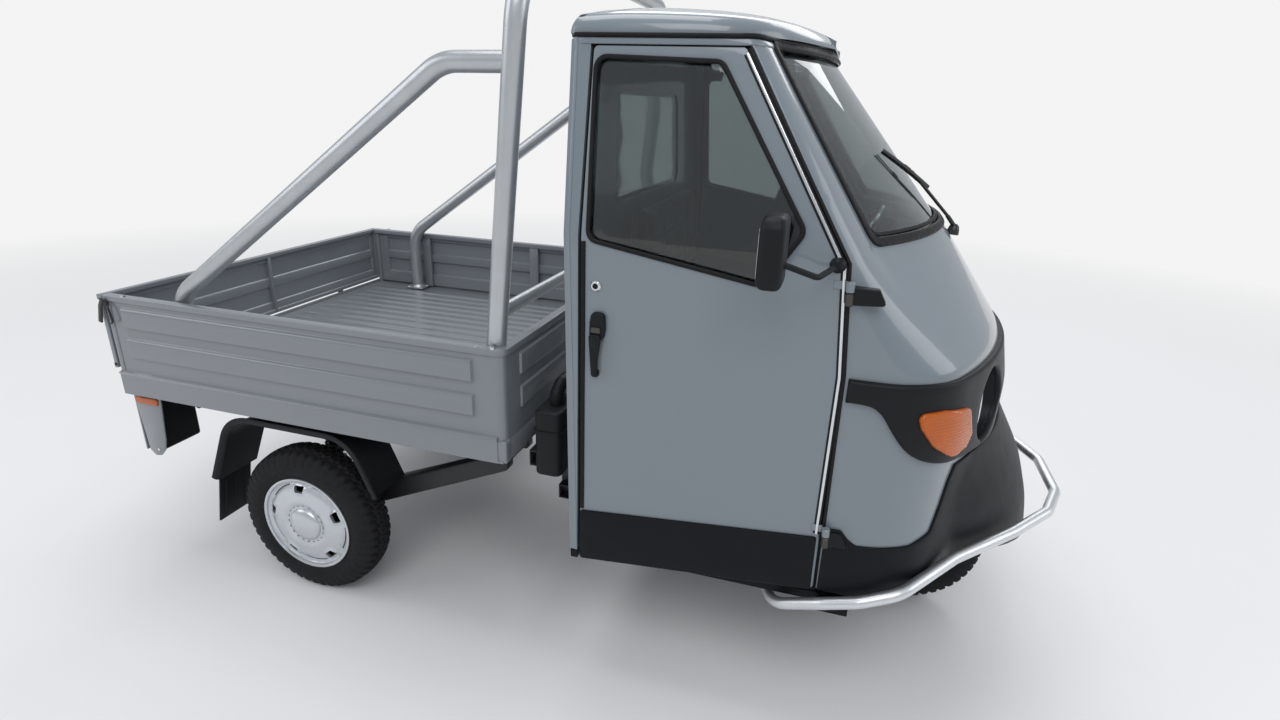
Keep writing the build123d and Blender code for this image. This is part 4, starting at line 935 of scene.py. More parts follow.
def add_nose_trim():
    """Black mask and lower fairing, lamps and indicators."""
    shares = (0.2, 0.4, 0.6, 0.8)
    lower = SHELL.from_side(np.vstack((MASK_LINE[:1], smooth_line(MASK_LINE[1:], 4))), -1)
    low_front = [(lower[-1][0] * (1 - s), 668 - 18 * math.sin(s * math.pi / 2)) for s in shares]
    mask = panel(SHELL.place, [both(np.vstack((lower, low_front))), *lamp_rings(79)], 13, 7, 14, height=12)
    piece("nose_mask", [mask], "black_plastic", nodes=["front_mask"])

    def ribbed(flat):
        return 0.4 * (np.cos(flat[:, 1] * 2 * math.pi / 6.5) - 1)
    shield = ((803, 813), (850, 816), (899, 806), (915, 745), (908, 719), (880, 710), (840, 744), (814, 782))
    for side, sign in SIDES:
        lens = panel(SHELL.place, [SHELL.side_loop(shield, 14, 6, sign, 5)], 9, 5, 2.2, height=20, relief=ribbed)
        piece(f"indicator_{side}", [lens], "orange_lens", nodes=["front_indicators"])

    side = [(676, 385), (676, 538), (706, 539), (722, 520), (738, 509), (846, 511), (884, 530), (895, 586),
            (903, 640), (912, 672)]
    top = FAIRING.from_side(bent(side, 10, 4), -1)
    top_front = [(top[-1][0] * (1 - s), 672) for s in shares]
    bottom = FAIRING.from_side([(1120, 372), (1040, 404), (960, 412), (905, 408), (820, 385)], -1)
    bottom_front = [(bottom[0][0] * s, 335 + 37 * s**2) for s in shares]
    fairing = panel(FAIRING.place, [both(np.vstack((bottom_front, bottom, top, top_front)))], 6, 2.8, 16)
    piece("nose_fairing", [fairing], "black_plastic", nodes=["front_apron", "front_skirts"], look="deep_plastic")

    profiles = {
        "shell": (((893, 0), (893, 40), (914, 78), (936, 78), (936, 72), (918, 71), (900, 36), (900, 0)), 48),
        "bezel": (((930, 78.5), (944, 78), (947, 75), (945, 70), (930, 71)), 56),
        "lens": (((940, 0), (940, 70.5), (945, 70.5), (952, 50), (957, 25), (959.5, 0)), 56),
        "back": (((891, 0), (891, 42), (913, 80.5), (927, 80.5), (927, 79.2), (914, 79.2), (892.4, 41), (892.4, 0)),
                 40),
    }
    lamps = {part: [lathe(profile, (0, sign * LAMP_Y, LAMP_Z), (1, 0, 0), count) for sign in SIGNS]
             for part, (profile, count) in profiles.items()}
    ring = circle(1, 64)
    wells = []
    for sign in SIGNS:
        # The spacing is so wide that the rim keeps the ring's own points
        rim = SHELL.from_front(ring * 80 + np.array((sign * LAMP_Y, LAMP_Z)), 1e6, closed=True)
        points = [(x, sign * LAMP_Y + r * u, LAMP_Z + r * v)
                  for (u, v), front in zip(ring, SHELL.place(rim, 0.0))
                  for x, r in ((926, 79), (front[0] - 2, 79), (front[0] - 2, 82.5), (926, 82.5))]
        wells.append((points, ring_faces(len(ring), 4)))
    piece("lamp_reflectors", lamps["shell"], "clear_lens", nodes=["headlamps"], look="reflector")
    piece("lamp_bezels", lamps["bezel"], "polished_steel")
    piece("lamp_lenses", lamps["lens"], "clear_lens")
    piece("lamp_wells", wells + lamps["back"], "black_plastic")


def add_bumper():
    """Polished tube round the fairing."""
    route = ((560, 490, 298), (592, 574, 311), (687, 614, 368), (762, 618, 394), (838, 600, 420), (955, 456, 438),
             (1092, 322, 448), (1190, 200, 450), (1232, 90, 450))
    whole = [(x, -y, z) for x, y, z in route] + list(reversed(route))
    line = spread(bent(whole, 75, 10), 25)
    piece("bumper_tube", [sweep(line, circle(13, 24))], "polished_steel", nodes=["front_bumper"],
          look="satin_steel")


# Bed: middle heights of its two pressed bands and their half height, its ends and its rim's height
BAND_LEVELS = (674, 759)
BAND_HALF = 29
BED_REAR, BED_MIDDLE, RIM_Z = -1222, -650, 808


def eased(share):
    """A step from 0 to 1 with soft ends."""
    return share * share * (3 - 2 * share)


def band_relief(u, v, half_length, depth, middle=0.0):
    """Relief of the two pressed bands at places along and up a wall."""
    total = np.zeros_like(u)
    for level in BAND_LEVELS:
        across = np.minimum((level + BAND_HALF - v) / 7.5, (v - level + BAND_HALF) / 4)
        share = np.clip(np.minimum((half_length - np.abs(u - middle)) / 4, across), 0, 1)
        total = np.maximum(total, depth * eased(share))
    return total


def sheet_grid(us, vs, place, through):
    """A closed sheet over a grid. place(u, v) gives the points of its outer face, and through is the way from
    its inner face to it."""
    u, v = np.meshgrid(np.asarray(us, float), np.asarray(vs, float), indexing="ij")
    points = place(u.ravel(), v.ravel())
    nu, nv = len(us), len(vs)
    size = nu * nv
    faces = []
    for i in range(nu - 1):
        for j in range(nv - 1):
            a, b, c, d = i * nv + j, (i + 1) * nv + j, (i + 1) * nv + j + 1, i * nv + j + 1
            faces += [(a, b, c, d), (a + size, d + size, c + size, b + size)]
    rim = [i * nv for i in range(nu)] + [(nu - 1) * nv + j for j in range(1, nv)]
    rim += [i * nv + nv - 1 for i in range(nu - 2, -1, -1)] + [j for j in range(nv - 2, 0, -1)]
    for a, b in zip(rim, rim[1:] + rim[:1]):
        faces.append((b, a, a + size, b + size))
    return list(points) + list(points - np.array(through, float)), faces


def band_levels(low, high):
    """Heights that follow the bands' sloped edges."""
    levels = [low, 606, 622, high]
    for middle in BAND_LEVELS:
        for side in SIGNS:
            levels += [middle + side * (BAND_HALF - d) for d in (0, 1.1, 2.2, 3.4, 4.5, 6, 7.5)]
        levels.append(middle)
    return sorted(level for level in levels if low <= level <= high)


def band_places(low, high, half_length, middle=0.0):
    """Places along a wall that follow the bands' ends."""
    places = list(np.linspace(low, high, int((high - low) / 60)))
    for side in SIGNS:
        places += [middle + side * (half_length - d) for d in (0, 1.1, 2.2, 3.4, 4.5, 6)]
    return sorted(p for p in places if low <= p <= high)


def add_bed():
    """Load bed: ribbed floor, pressed sides and front wall with box flanges, posts and bearers."""
    ribs = []
    for k in range(-9, 10):
        ribs += [(52 * k + d, h) for d, h in ((-16, 0), (-13.5, 0.5), (-10, 3.5), (-7, 4), (7, 4), (10, 3.5),
                                              (13.5, 0.5), (16, 0))]
    ys, hs = np.array([(-565, 0), *ribs, (565, 0)], float).T
    xs = [BED_REAR, -1180, -1176, -1172, -1166, -900, -600, -300, -115, -109, -104, -100, -61]

    def floor_place(u, v):
        ends = np.clip(np.minimum(u + 1176, -104 - u) / 8, 0, 1)
        return np.column_stack((u, v, 596 + np.interp(v, ys, hs) * ends))
    piece("bed_floor_sheet", [sheet_grid(xs, ys, floor_place, (0, 0, 11))], "bed_paint", nodes=["bed_floor"])

    def side_place(u, v):
        y = 570 + band_relief(u, v, 520, 8, BED_MIDDLE) + 7 * eased(np.clip((603 - v) / 5, 0, 1))
        return np.column_stack((u, y + 3 * np.exp(-((v - 597) / 3.2) ** 2), v))
    levels = sorted(set(band_levels(534, 806)) | {590.5 + k for k in range(14)})
    shapes = [sheet_grid(band_places(BED_REAR, -74, 520, BED_MIDDLE), levels, side_place, (0, 6, 0)),
              sweep([(BED_REAR, 563, RIM_Z), (-78, 563, RIM_Z)], rounded_section(24, 16, 2)),
              sweep([(BED_REAR, 568, 537), (-60, 568, 537)], rounded_section(18, 6, 2)),
              box((BED_REAR, -1206), (556, 572), (535, 812), 2)]
    shapes += [box((x - 18, x + 18), (553, 566), (600, 802), 3) for x in (-980, -505)]
    for side, sign in SIDES:
        piece(f"bed_side_{side}", [on_side(s, sign) for s in shapes], "bed_paint", nodes=["bed_sides"])

    def front_place(u, v):
        x = -55 + band_relief(u, v, 490, 5.5)
        corner = np.clip((np.abs(u) - 551) / 20, 0, 1)
        x = x - 20 * (1 - np.sqrt(np.clip(1 - corner**2, 0, 1)))
        return np.column_stack((x, np.clip(u, -571, 571), v))
    corners = {s * (551 + 20 * math.sin(math.radians(a))) for s in SIGNS for a in (15, 30, 45, 60, 75, 88)}
    us = sorted(set(band_places(-551, 551, 490)) | corners)
    wall = sheet_grid(us, band_levels(586, 806), front_place, (6, 0, 0))
    turn = bent([(x, y, RIM_Z) for x, y in ((-90, -563), (-62, -563), (-62, 563), (-90, 563))], 14, 6)
    flange = sweep(turn, rounded_section(24, 16, 2))
    piece("bed_front_sheet", [wall, flange], "bed_paint", nodes=["bed_front_wall"])
    sill = box((-60, -54), (-560, 560), (536, 588), 2)
    lip = box((-1227, -1221), (-560, 560), (586, 606), 1.5)
    piece("bed_sills", [sill, lip, *on_both(box((-86, -52), (548, 575), (534, 590), 5, 3))], "bed_paint")

    def gate_place(u, v):
        return np.column_stack((-1241 - band_relief(u, v, 540, 3.5), u, v))
    gate = sheet_grid(band_places(-570, 570, 540), band_levels(612, 810), gate_place, (-5, 0, 0))
    rail = sweep([(-1236.5, -573, RIM_Z), (-1236.5, 573, RIM_Z)], rounded_section(17, 15, 3))
    foot = sweep([(-1235, -573, 615), (-1235, 573, 615)], rounded_section(12, 14, 3))
    stiles = [box((-1241, -1228), (y - 6, y + 6), (612, 806), 2) for y in (-567, 0, 567)]
    knuckles = on_both(rod((-1240, 322, 594), (-1240, 352, 594), 5), box((-1243, -1237), (324, 350), (594, 616), 1))
    piece("tailgate_sheet", [gate, rail, foot, *stiles, *knuckles], "bed_paint", "tailgate_body", ["tailgate"])


# Roll bar: x of its feet, and the height of the bed's floor that they stand on
STAY_X, HOOP_X, FLOOR_Z = -1012, -112, 600


def hoop_x(z):
    """Where the leaning hoop is at a height."""
    return HOOP_X + (z - FLOOR_Z) * 105 / 1024


def add_roll_bar():
    """Hoop, stays and crossbar of silver tube, on plates bolted to the bed."""
    hoop = spread(bent([(HOOP_X, -530, 602), (-7, -530, 1624), (-7, 530, 1624), (HOOP_X, 530, 602)], 150, 14), 60)
    stay = [(x, 525, z) for x, z in ((hoop_x(1406) - 8, 1406), (-190, 1404), (STAY_X, 822), (STAY_X, 602))]
    bar_x = hoop_x(888)
    shapes = [sweep(hoop, circle(22.4, 28), up=(0, 1, 0)),
              sweep([(bar_x, -512, 888), (bar_x, 512, 888)], circle(17, 24, 0.72)),
              *on_both(sweep(spread(bent(stay, 110, 12), 60), circle(21.4, 28), up=(0, 1, 0)))]
    collar = ((0, 0), (0, 30), (2, 29), (9, 23.5), (12, 22.6), (12, 0))
    bolts = []
    for x in (STAY_X, HOOP_X):
        shapes += on_both(box((x - 38, x + 38), (493, 553), (FLOOR_Z, FLOOR_Z + 6), 1.5),
                          lathe(collar, (x, 527, 604), (0, 0, 1), 28))
        bolts += on_both(*(bolt((x + dx, 523 + dy, 605.6), (0, 0, 1), 6.5, 6, 4, 4.6) for dx in (-29, 29)
                           for dy in (-20, 20)))
    piece("roll_bar_tube", shapes, "silver_tube", nodes=["roll_bar"])
    piece("roll_bar_bolts", bolts, "polished_steel")


# Wheels: body, ending of the tyre's and wheel's names, centre, outward side
REAR_X, FRONT_X, AXLE_Z = -685, 905, 217
WHEELS = (("rear_wheel_right", "rear_right", (REAR_X, -510, AXLE_Z), -1),
          ("rear_wheel_left", "rear_left", (REAR_X, 510, AXLE_Z), 1),
          ("front_wheel", "front", (FRONT_X, 0, AXLE_Z), -1))
# Hub cap: radii and how far its face is from the wheel's middle
CAP_PROFILE = ((0, 50), (44, 50), (50, 48), (54, 47), (60, 50), (66, 52), (74, 52), (92, 49.5), (104, 46.5),
               (113, 43), (117, 38), (124, 37), (128, 41), (132, 45))


# Tread: places and half width of its wavy grooves, their depth, the waves' number and reach, blocks' length
GROOVES, GROOVE_HALF, GROOVE_DEPTH = (-17, 0, 17), 2.6, 5.5
WAVES, WAVE_REACH = 50, 3.2
BLOCK = 6


def tyre_shape():
    """Tyre about the Y axis: lathe section with tread blocks and shoulder lugs cut into it."""
    half = [(38, 132), (43, 136), (47, 146), (49.5, 158), (50, 170), (48.5, 182), (46, 192), (43, 200), (40, 206),
            (36, 210.5), (30, 213), (24, 214.3), (18, 215.3), (12, 216.2), (6, 216.8), (0, 217)]
    line = half + [(-a, r) for a, r in half[-2::-1]] + [(-30, 134), (30, 134)]
    count = 300
    points = []
    for k in range(count):
        turn = 2 * math.pi * k / count
        for a, r in line:
            cut = 0.0
            block = (k + (BLOCK // 2 if a > 0 else 0)) % BLOCK
            if r > 206.5:
                wave = math.sin(turn * WAVES) * WAVE_REACH
                if 5 < abs(a) < 14 and block == 3:
                    cut = 3
                elif abs(a) > 20 and block < 2 or any(abs(a - groove - wave) < GROOVE_HALF for groove in GROOVES):
                    cut = GROOVE_DEPTH
            elif r > 180 and block < 2:
                cut = 4.5 if r > 190 else 2.5
            points.append((math.cos(turn) * (r - cut), a, math.sin(turn) * (r - cut)))
    return points, ring_faces(count, len(line))


def wheel_face(centre, sign):
    """A surface over the wheel's outer side: flat coordinates are forward and up from its middle."""
    radii, levels = np.array(CAP_PROFILE).T

    def place(flat, offset):
        level = np.interp(np.hypot(flat[:, 0], flat[:, 1]), radii, levels)
        return np.column_stack((centre[0] + flat[:, 0], centre[1] + sign * (level + offset),
                                centre[2] + flat[:, 1]))
    return place


def turned(loop, degrees):
    """A loop turned round the middle."""
    turn = math.radians(degrees)
    c, s = math.cos(turn), math.sin(turn)
    return np.array([(c * u - s * v, s * u + c * v) for u, v in loop])


def add_wheels():
    """Tyres with tread, hub caps with five ports and slots, rims and drums."""
    tyre, tyre_faces = tyre_shape()
    port = bent([(98, -12), (116, -17), (116, 17), (98, 12)], 3, 3, closed=True)
    slot = [(r * math.cos(math.radians(a)), r * math.sin(math.radians(a)))
            for r, degrees in ((121.5, range(18, 55, 4)), (118.5, range(54, 17, -4))) for a in degrees]
    ports, slots = ([turned(loop, 22 + 72 * k) for k in range(5)] for loop in (port, slot))

    def raised(flat):
        return 4.2 * np.exp(-(distance_to(flat, ports) / 4.2) ** 2)
    # Lathe profiles from the wheel's middle outwards, with their points round the axle
    cap_rings = ((((32, 131), (43, 130), (48, 131.5), (50, 135), (48.5, 139), (44, 139), (36, 135)), 72),
                 (((46, 0), (46, 49), (51, 48.5), (56, 44), (60.5, 33), (63.5, 16), (64.4, 0)), 56))
    rim_rings = ((((-39, 126), (-37, 133), (-30, 131), (-28, 117), (28, 117), (30, 131), (34, 131), (32, 113),
                   (-32, 113)), 60),
                 (((8, 20), (8, 112), (13, 112), (13, 20)), 48),
                 (((-46, 20), (-46, 84), (-40, 92), (4, 92), (8, 84), (8, 20)), 48))
    for body, ending, centre, sign in WHEELS:
        placed = [(centre[0] + x, centre[1] + sign * y, centre[2] + z) for x, y, z in tyre]
        piece(f"tyre_{ending}_tread", [(placed, tyre_faces)], "tyre_rubber", body, [f"tyre_{ending}"], sharp=28)
        cap = panel(wheel_face(centre, sign), [circle(132, 120), *ports, *slots], 5, 1, 5, relief=raised)
        rings, rims = ([lathe(profile, centre, (0, sign, 0), count) for profile, count in table]
                       for table in (cap_rings, rim_rings))
        piece(f"hub_cap_{ending}", [cap, *rings], "wheel_silver", body, [f"wheel_{ending}"])
        piece(f"rim_{ending}", rims, "dark_steel", body)
        dashes = []
        for k in range(20):
            turn = math.radians(18 * k)
            spot = centre[0] + 56.5 * math.cos(turn), centre[1] + sign * 48.2, centre[2] + 56.5 * math.sin(turn)
            dashes.append(box((-1, 1), (-0.8, 0.8), (-3.4, 3.4), 0.4, 1,
                              Matrix.Translation(spot) @ Matrix.Rotation(-turn, 4, "Y")))
        piece(f"hub_marks_{ending}", dashes, "dark_steel", body)


def add_hinges():
    """Hinge knuckles on the nose under wedge covers, and the light lugs on the doors."""
    lean = unit(np.array((-21.0, 0, 510)))
    covers, barrels, lugs = [], [], []
    for (x, z), reach, base in (((678, 520), 45, 596), ((657, 1030), 66, 590)):
        middle = np.array((x, 603.0, z))
        wedge = [(x + 5, z - 19), (x + reach, z - 15), (x + reach - 16, z + 14), (x + 5, z + 15)]
        covers.append(prism(wedge, 5, 4, "y", base - 4, 606, 3, 3))
        barrels.append(rod(middle - lean * 20, middle + lean * 3, 8, 22, 1.5))
        lugs.append(rod(middle + lean * 4.5, middle + lean * 23.5, 8, 22, 1.5))
        lugs.append(box((x - 30, x - 4), (588.5, 592.5), (z + 6, z + 22), 1.5))
    for side, sign in SIDES:
        piece(f"hinge_lugs_{side}", [on_side(lug, sign) for lug in lugs], "body_paint", f"door_{side}_body")
    piece("hinge_covers", on_both(*covers), "black_plastic", nodes=["door_hinges"])
    piece("hinge_barrels", on_both(*barrels), "dark_steel")


def add_wiper():
    """Wiper with its cap, sprung arm and rubber blade."""
    cap = lathe(((0, 0), (0, 15), (10, 14), (20, 11), (25, 6), (26, 0)), (889, 0, 1062), (0.1, 0, 1), 28)
    arm_line = bent([(890, 0, 1082), (868, -22, 1108), (760, -150, 1216), (744, -168, 1226)], 18, 5)
    scale = np.interp(np.linspace(0, 1, len(arm_line)), (0, 0.25, 1), (1.25, 1, 0.7))
    arm = sweep(arm_line, rounded_section(9, 6, 2), scale=scale)
    ends = np.array((690, -235, 1262.0)), np.array((806, -98, 1180.0))
    line = [ends[0] + (ends[1] - ends[0]) * s + np.array((0.8, -0.6, 0)) * 4 * math.sin(s * math.pi)
            for s in np.linspace(0, 1, 13)]
    spine = sweep(line, rounded_section(4, 7, 2))
    lip = sweep([p - np.array((3.5, -2.0, 4.5)) for p in line], rounded_section(2, 5, 1))
    clip = box((-13, 13), (-5, 5), (-5, 5), 2, 2, Matrix.Translation((746, -166, 1223)) @
               Vector(ends[1] - ends[0]).to_track_quat("X", "Z").to_matrix().to_4x4())
    piece("wiper_arm", [cap, arm, spine, clip], "black_metal", nodes=["wiper"])
    rubber_piece("wiper_lip", [lip])


GUARD_ROUTE = ((-455, 345), (-520, 497), (-880, 497), (-965, 300))


def add_mudguards():
    """Rear arches with a rolled outer edge, and their ribbed flaps."""
    line = spread(bent(GUARD_ROUTE, 90, 10), 24)
    way = unit(np.gradient(line, axis=0))
    out = np.column_stack((-way[:, 1], way[:, 0]))
    if out[len(out) // 2][1] < 0:
        out = -out
    section = ((425, 0), (425, 7), (470, 8), (545, 8), (556, 10), (561, 15), (561.5, 21), (564, 22), (566, 20.5),
               (566, 13), (564, 6), (559, 1.5), (552, 0), (470, 0))
    points = [(x + nx * h, y, z + nz * h) for (x, z), (nx, nz) in zip(line, out) for y, h in section]
    shapes = [(points, ring_faces(len(line), len(section), False))]
    flap = [(500, ((-3, 3), (-55, 55), (-75, 75)), 2.5, 2)]
    flap += [(y, ((-4.4, 4.4), (-2, 2), (-62, 58)), 1.4, 1) for y in (466, 500, 534)]
    for y, spans, radius, segments in flap:
        matrix = Matrix.Translation((-985, y, 228)) @ Matrix.Rotation(math.radians(12), 4, "Y")
        shapes.append(box(*spans, radius, segments, matrix))
    piece("mudguard_arches", on_both(*shapes), "black_plastic", nodes=["rear_mudguards"])


def add_tail():
    """Lamp brackets with their side reflectors and struts, and the tail lamps."""
    plate = ((-1222, 531), (-1124, 531), (-1140, 392), (-1149, 360), (-1168, 339), (-1190, 335), (-1207, 352))
    brackets = on_both(prism(plate, 12, 5, "y", 551.5, 556, 1.6), box((-1222, -1123), (430, 556), (524, 528), 1.2),
                       box((-1222, -1216), (545, 556), (350, 528), 2))
    piece("lamp_bracket_plates", brackets, "bed_paint", nodes=["lamp_brackets"])
    reflector = prism([(-1214, 500), (-1136, 500), (-1132, 521), (-1214, 521)], 6, 4, "y", 554, 561, 2.5, 3)
    piece("side_reflectors", on_both(reflector), "orange_lens")
    piece("tail_lamp_housings", on_both(box((-1214, -1152), (432, 551), (356, 523), 9, 4)), "black_plastic",
          nodes=["tail_lamps"])
    for name, low, high, slot, look in (("red", 414, 466, "orange_lens", "red_lens"),
                                        ("amber", 470, 517, "orange_lens", None),
                                        ("clear", 362, 410, "clear_lens", None)):
        ribs = [low + 7 + k * (high - low - 14) / 4 for k in range(5)]
        lens = [prism(rectangle((439, 545), (low, high)), 7, 4, "x", -1221, -1212, 3, 3),
                *(box((-1221.8, -1220), (446, 538), (z - 1.5, z + 1.5), 0.7, 1) for z in ribs)]
        piece(f"tail_lamp_{name}", on_both(*lens), slot, look=look)
    spots = ((-1206, 512), (-1142, 512), (-1172, 358))
    bolts = [bolt((x, 555.5, z), (0, 1, 0), 5, 4.4, 2.4, 3.4) for x, z in spots]
    piece("bracket_bolts", on_both(*bolts), "polished_steel")
    strut = sweep([(-1190, 480, 520), (-1090, 470, 470), (-1010, 455, 505)], rounded_section(16, 8, 2))
    piece("tail_struts", on_both(strut), "frame_black")


def add_underside():
    """Air box, silencer, engine and suspension."""
    lid_line = round_rectangle((9.5, 76.5), (-560.5, -429.5), 17, 5)
    snout = bent([(43, -500, 672), (43, -500, 700), (43, -470, 716), (43, -400, 716)], 20, 6)
    air_box = [prism(rectangle((10, 76), (-560, -430)), 17, 5, "z", 514, 676, 6, 3),
               sweep([(x, y, 628) for x, y in lid_line], rounded_section(7, 3, 2), True),
               *(box((8, 12), (y - 2, y + 2), (526, 616), 1) for y in (-540, -520, -500, -480, -460)),
               sweep(snout, circle(16, 20))]
    piece("air_box_shell", air_box, "black_plastic", nodes=["air_box"])

    seam = round_rectangle((-1019, -781), (351, 469), 42, 9)
    silencer = [prism(rectangle((-1018, -782), (352, 468)), 42, 9, "y", -258, 98, 8, 4),
                *(sweep([(x, y, z) for x, z in seam], rounded_section(6, 3, 2), True) for y in (-236, 76)),
                sweep(bent([(-790, 60, 420), (-700, 60, 420), (-640, 60, 380)], 40, 8), circle(16, 20)),
                sweep(bent([(-1000, -120, 372), (-1010, -120, 352), (-1030, -120, 344)], 12, 6), circle(14, 20))]
    piece("silencer_shell", silencer, "dark_steel", nodes=["exhaust"])

    cover = ((0, 0), (0, 82), (10, 88), (34, 84), (48, 60), (50, 24), (44, 0))
    engine = [box((-640, -470), (-70, 120), (224, 400), 16, 4),
              *(box((-472, -365), (-46, 90), (z, z + 4), 1.5) for z in range(268, 388, 10)),
              rod((-468, 22, 328), (-358, 22, 328), 38, 32, 4),
              lathe(cover, (-555, 118, 332), (0, 1, 0), 40),
              box((-684, -600), (-88, 60), (300, 420), 14, 4),
              box((-620, -500), (-60, 60), (396, 450), 14, 4),
              rod((-560, 0, 440), (-560, 0, 485), 30, 28, 3)]
    for turn in np.radians(range(0, 360, 60)):
        engine.append(bolt((-555 + 70 * math.cos(turn), 158, 332 + 70 * math.sin(turn)), (0, 1, 0), 6, 5.4, 5, 6))
    piece("engine_casting", engine, "cast_metal", nodes=["engine_block"])

    outline = ((-725, 250), (-725, 187), (-625, 192), (-142, 408), (-142, 462), (-625, 260))
    foot, top = np.array((-695, 385, 235.0)), np.array((-721, 385, 499.0))
    arms = [prism(outline, 14, 4, "y", 366, 404, 5, 3),
            rod((REAR_X, 385, AXLE_Z), (REAR_X, 512, AXLE_Z), 12.5),
            rod((-170, 275, 436), (-170, 400, 436), 26, 24, 3),
            rod(foot, foot + (top - foot) * 0.62, 17, 22, 2),
            rod(foot + (top - foot) * 0.5, top, 9, 18, 1),
            *(lathe(((-2, 0), (-2, 27), (2, 27), (2, 0)), foot + (top - foot) * share, top - foot, 28)
              for share in (0.33, 0.97))]
    piece("suspension_arms", on_both(*arms), "frame_black", nodes=["rear_suspension"])
    axis = unit(top - foot)
    across = unit(np.cross(axis, (0, 1, 0)))
    other = np.cross(axis, across)
    coils, steps = 8, 18
    coil = []
    for k in range(coils * steps + 1):
        turn = 2 * math.pi * k / steps
        middle = foot + (top - foot) * (0.35 + 0.6 * k / (coils * steps))
        coil.append(middle + 22 * (math.cos(turn) * across + math.sin(turn) * other))
    piece("suspension_springs", on_both(sweep(coil, circle(4.2, 9), up=axis)), "dark_steel")


# Cross members: x of the rear face, z of the foot, depth and reach to the sides
MEMBERS = ((-1180, 486, 42, 240), (-600, 505, 23, 540), (-430, 486, 42, 240), (-40, 486, 42, 480),
           (-40, 288, 42, 300), (160, 288, 42, 430), (535, 288, 42, 490))


def add_members():
    """Cross members of the frame, each a web with two flanges, with their bolts and brackets."""
    shapes, bolts = [], []
    web = 4
    for x, z, depth, reach in MEMBERS:
        for xs, zs in (((x, x + web), (z, z + depth)), ((x, x + 50), (z, z + web)),
                       ((x, x + 50), (z + depth - web, z + depth))):
            shapes.append(box(xs, (-reach, reach), zs, 1.5))
        bolts += [bolt((x + 26, y, z + web), (0, 0, 1), 8, 7.4, 6, 7) for y in (22 - reach, reach - 22)]
    shapes += on_both(box((-194, -146), (235, 275), (408, 470), 4), box((-761, -681), (275, 425), (500, 528), 4))
    piece("frame_members", shapes, "frame_black", nodes=["frame_cross_members"])
    piece("frame_bolts", bolts, "dark_steel")


def add_bed_fittings():
    """Tailgate latches and hooks, and the rim's bolts."""
    lever = sweep([(-1216, 581, 806), (-1226, 582, 788), (-1238, 583, 742)], rounded_section(5, 13, 2),
                  up=(0.95, 0, 0.3))
    hook = sweep(bent([(-1216, 580, 796), (-1202, 581, 780), (-1197, 581, 746), (-1206, 580, 740)], 5, 4),
                 circle(3, 10))
    pivot = lathe(((0, 0), (0, 9), (4, 9), (6, 6), (6, 0)), (-1214, 575, 797), (0, 1, 0), 20)
    piece("tailgate_hooks", on_both(lever, hook, pivot), "black_metal")
    bolts = [bolt((x, 567, 815.5), (0, 0, 1), 7.5, 7, 4, 5) for x in (-82, -1160)]
    piece("bed_bolts", on_both(*bolts, bolt((-122, 567, 815.5), (0, 0, 1), 5, 4.4, 2, 2.6, 18)), "polished_steel")


# Seat pads: remeshed spacing, the cloth's settings and frames, and the sewn channels, in metres
VOXEL = 0.006
CLOTH = {"quality": 4, "mass": 0.3, "tension_stiffness": 12, "compression_stiffness": 12, "bending_stiffness": 0.6,
         "use_pressure": True, "uniform_pressure_force": 4.0}
CLOTH_FRAMES = 20
CHANNELS = (-0.13, 0.0, 0.13)
CHANNEL_WIDTH = 0.007


def evaluated(thing):
    """The mesh that a thing's modifiers make of it."""
    return bpy.data.meshes.new_from_object(thing.evaluated_get(bpy.context.evaluated_depsgraph_get()))


def places_of(mesh):
    """The mesh's points."""
    places = np.empty(len(mesh.vertices) * 3)
    mesh.vertices.foreach_get("co", places)
    return places.reshape(-1, 3)


def blown_up(pad, cap):
    """A pad's points after it is blown up a little as cloth, none of them moved beyond the cap."""
    start = places_of(pad.data)
    scene = bpy.context.scene
    cloth = pad.modifiers.new("cloth", "CLOTH")
    for setting, value in CLOTH.items():
        setattr(cloth.settings, setting, value)
    cloth.settings.effector_weights.gravity = 0
    cloth.point_cache.frame_start = 1
    cloth.point_cache.frame_end = CLOTH_FRAMES
    for number in range(1, CLOTH_FRAMES + 1):
        scene.frame_set(number)
    move = places_of(evaluated(pad)) - start
    pad.modifiers.clear()
    scene.frame_set(1)
    size = np.maximum(np.linalg.norm(move, axis=1, keepdims=True), 1e-9)
    return start + move * np.minimum(1, cap * MM / size)


def add_pad(name, shape, cap, axis, outer, depth, room):
    """A filled pad from a shape, with channels sewn into the part beyond an outer place, kept in its room."""
    mesh = bpy.data.meshes.new(name)
    mesh.from_pydata([tuple(c * MM for c in p) for p in shape[0]], [], shape[1])
    pad = added(name, mesh)
    remesh = pad.modifiers.new("remesh", "REMESH")
    remesh.mode = "VOXEL"
    remesh.voxel_size = VOXEL
    remeshed = evaluated(pad)
    pad.modifiers.clear()
    pad.data = remeshed
    points = blown_up(pad, cap)
    sewn = points[:, axis] > outer
    for y in CHANNELS:
        points[:, axis] -= np.where(sewn, depth * np.exp(-((points[:, 1] - y) / CHANNEL_WIDTH) ** 2), 0)
    points = np.clip(points, *(np.array(corner) * MM for corner in room))
    pad.data.vertices.foreach_set("co", points.ravel())
    pad.data.update()
    pad.data.polygons.foreach_set("use_smooth", [True] * len(pad.data.polygons))
    pad.data.materials.append(LOOKS["seat_cover"])
    soften = pad.modifiers.new("soften", "SMOOTH")
    soften.factor, soften.iterations = 0.5, 3
    divide = pad.modifiers.new("divide", "SUBSURF")
    divide.levels = divide.render_levels = 1
    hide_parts("seat_cushions")
    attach(pad, "root")


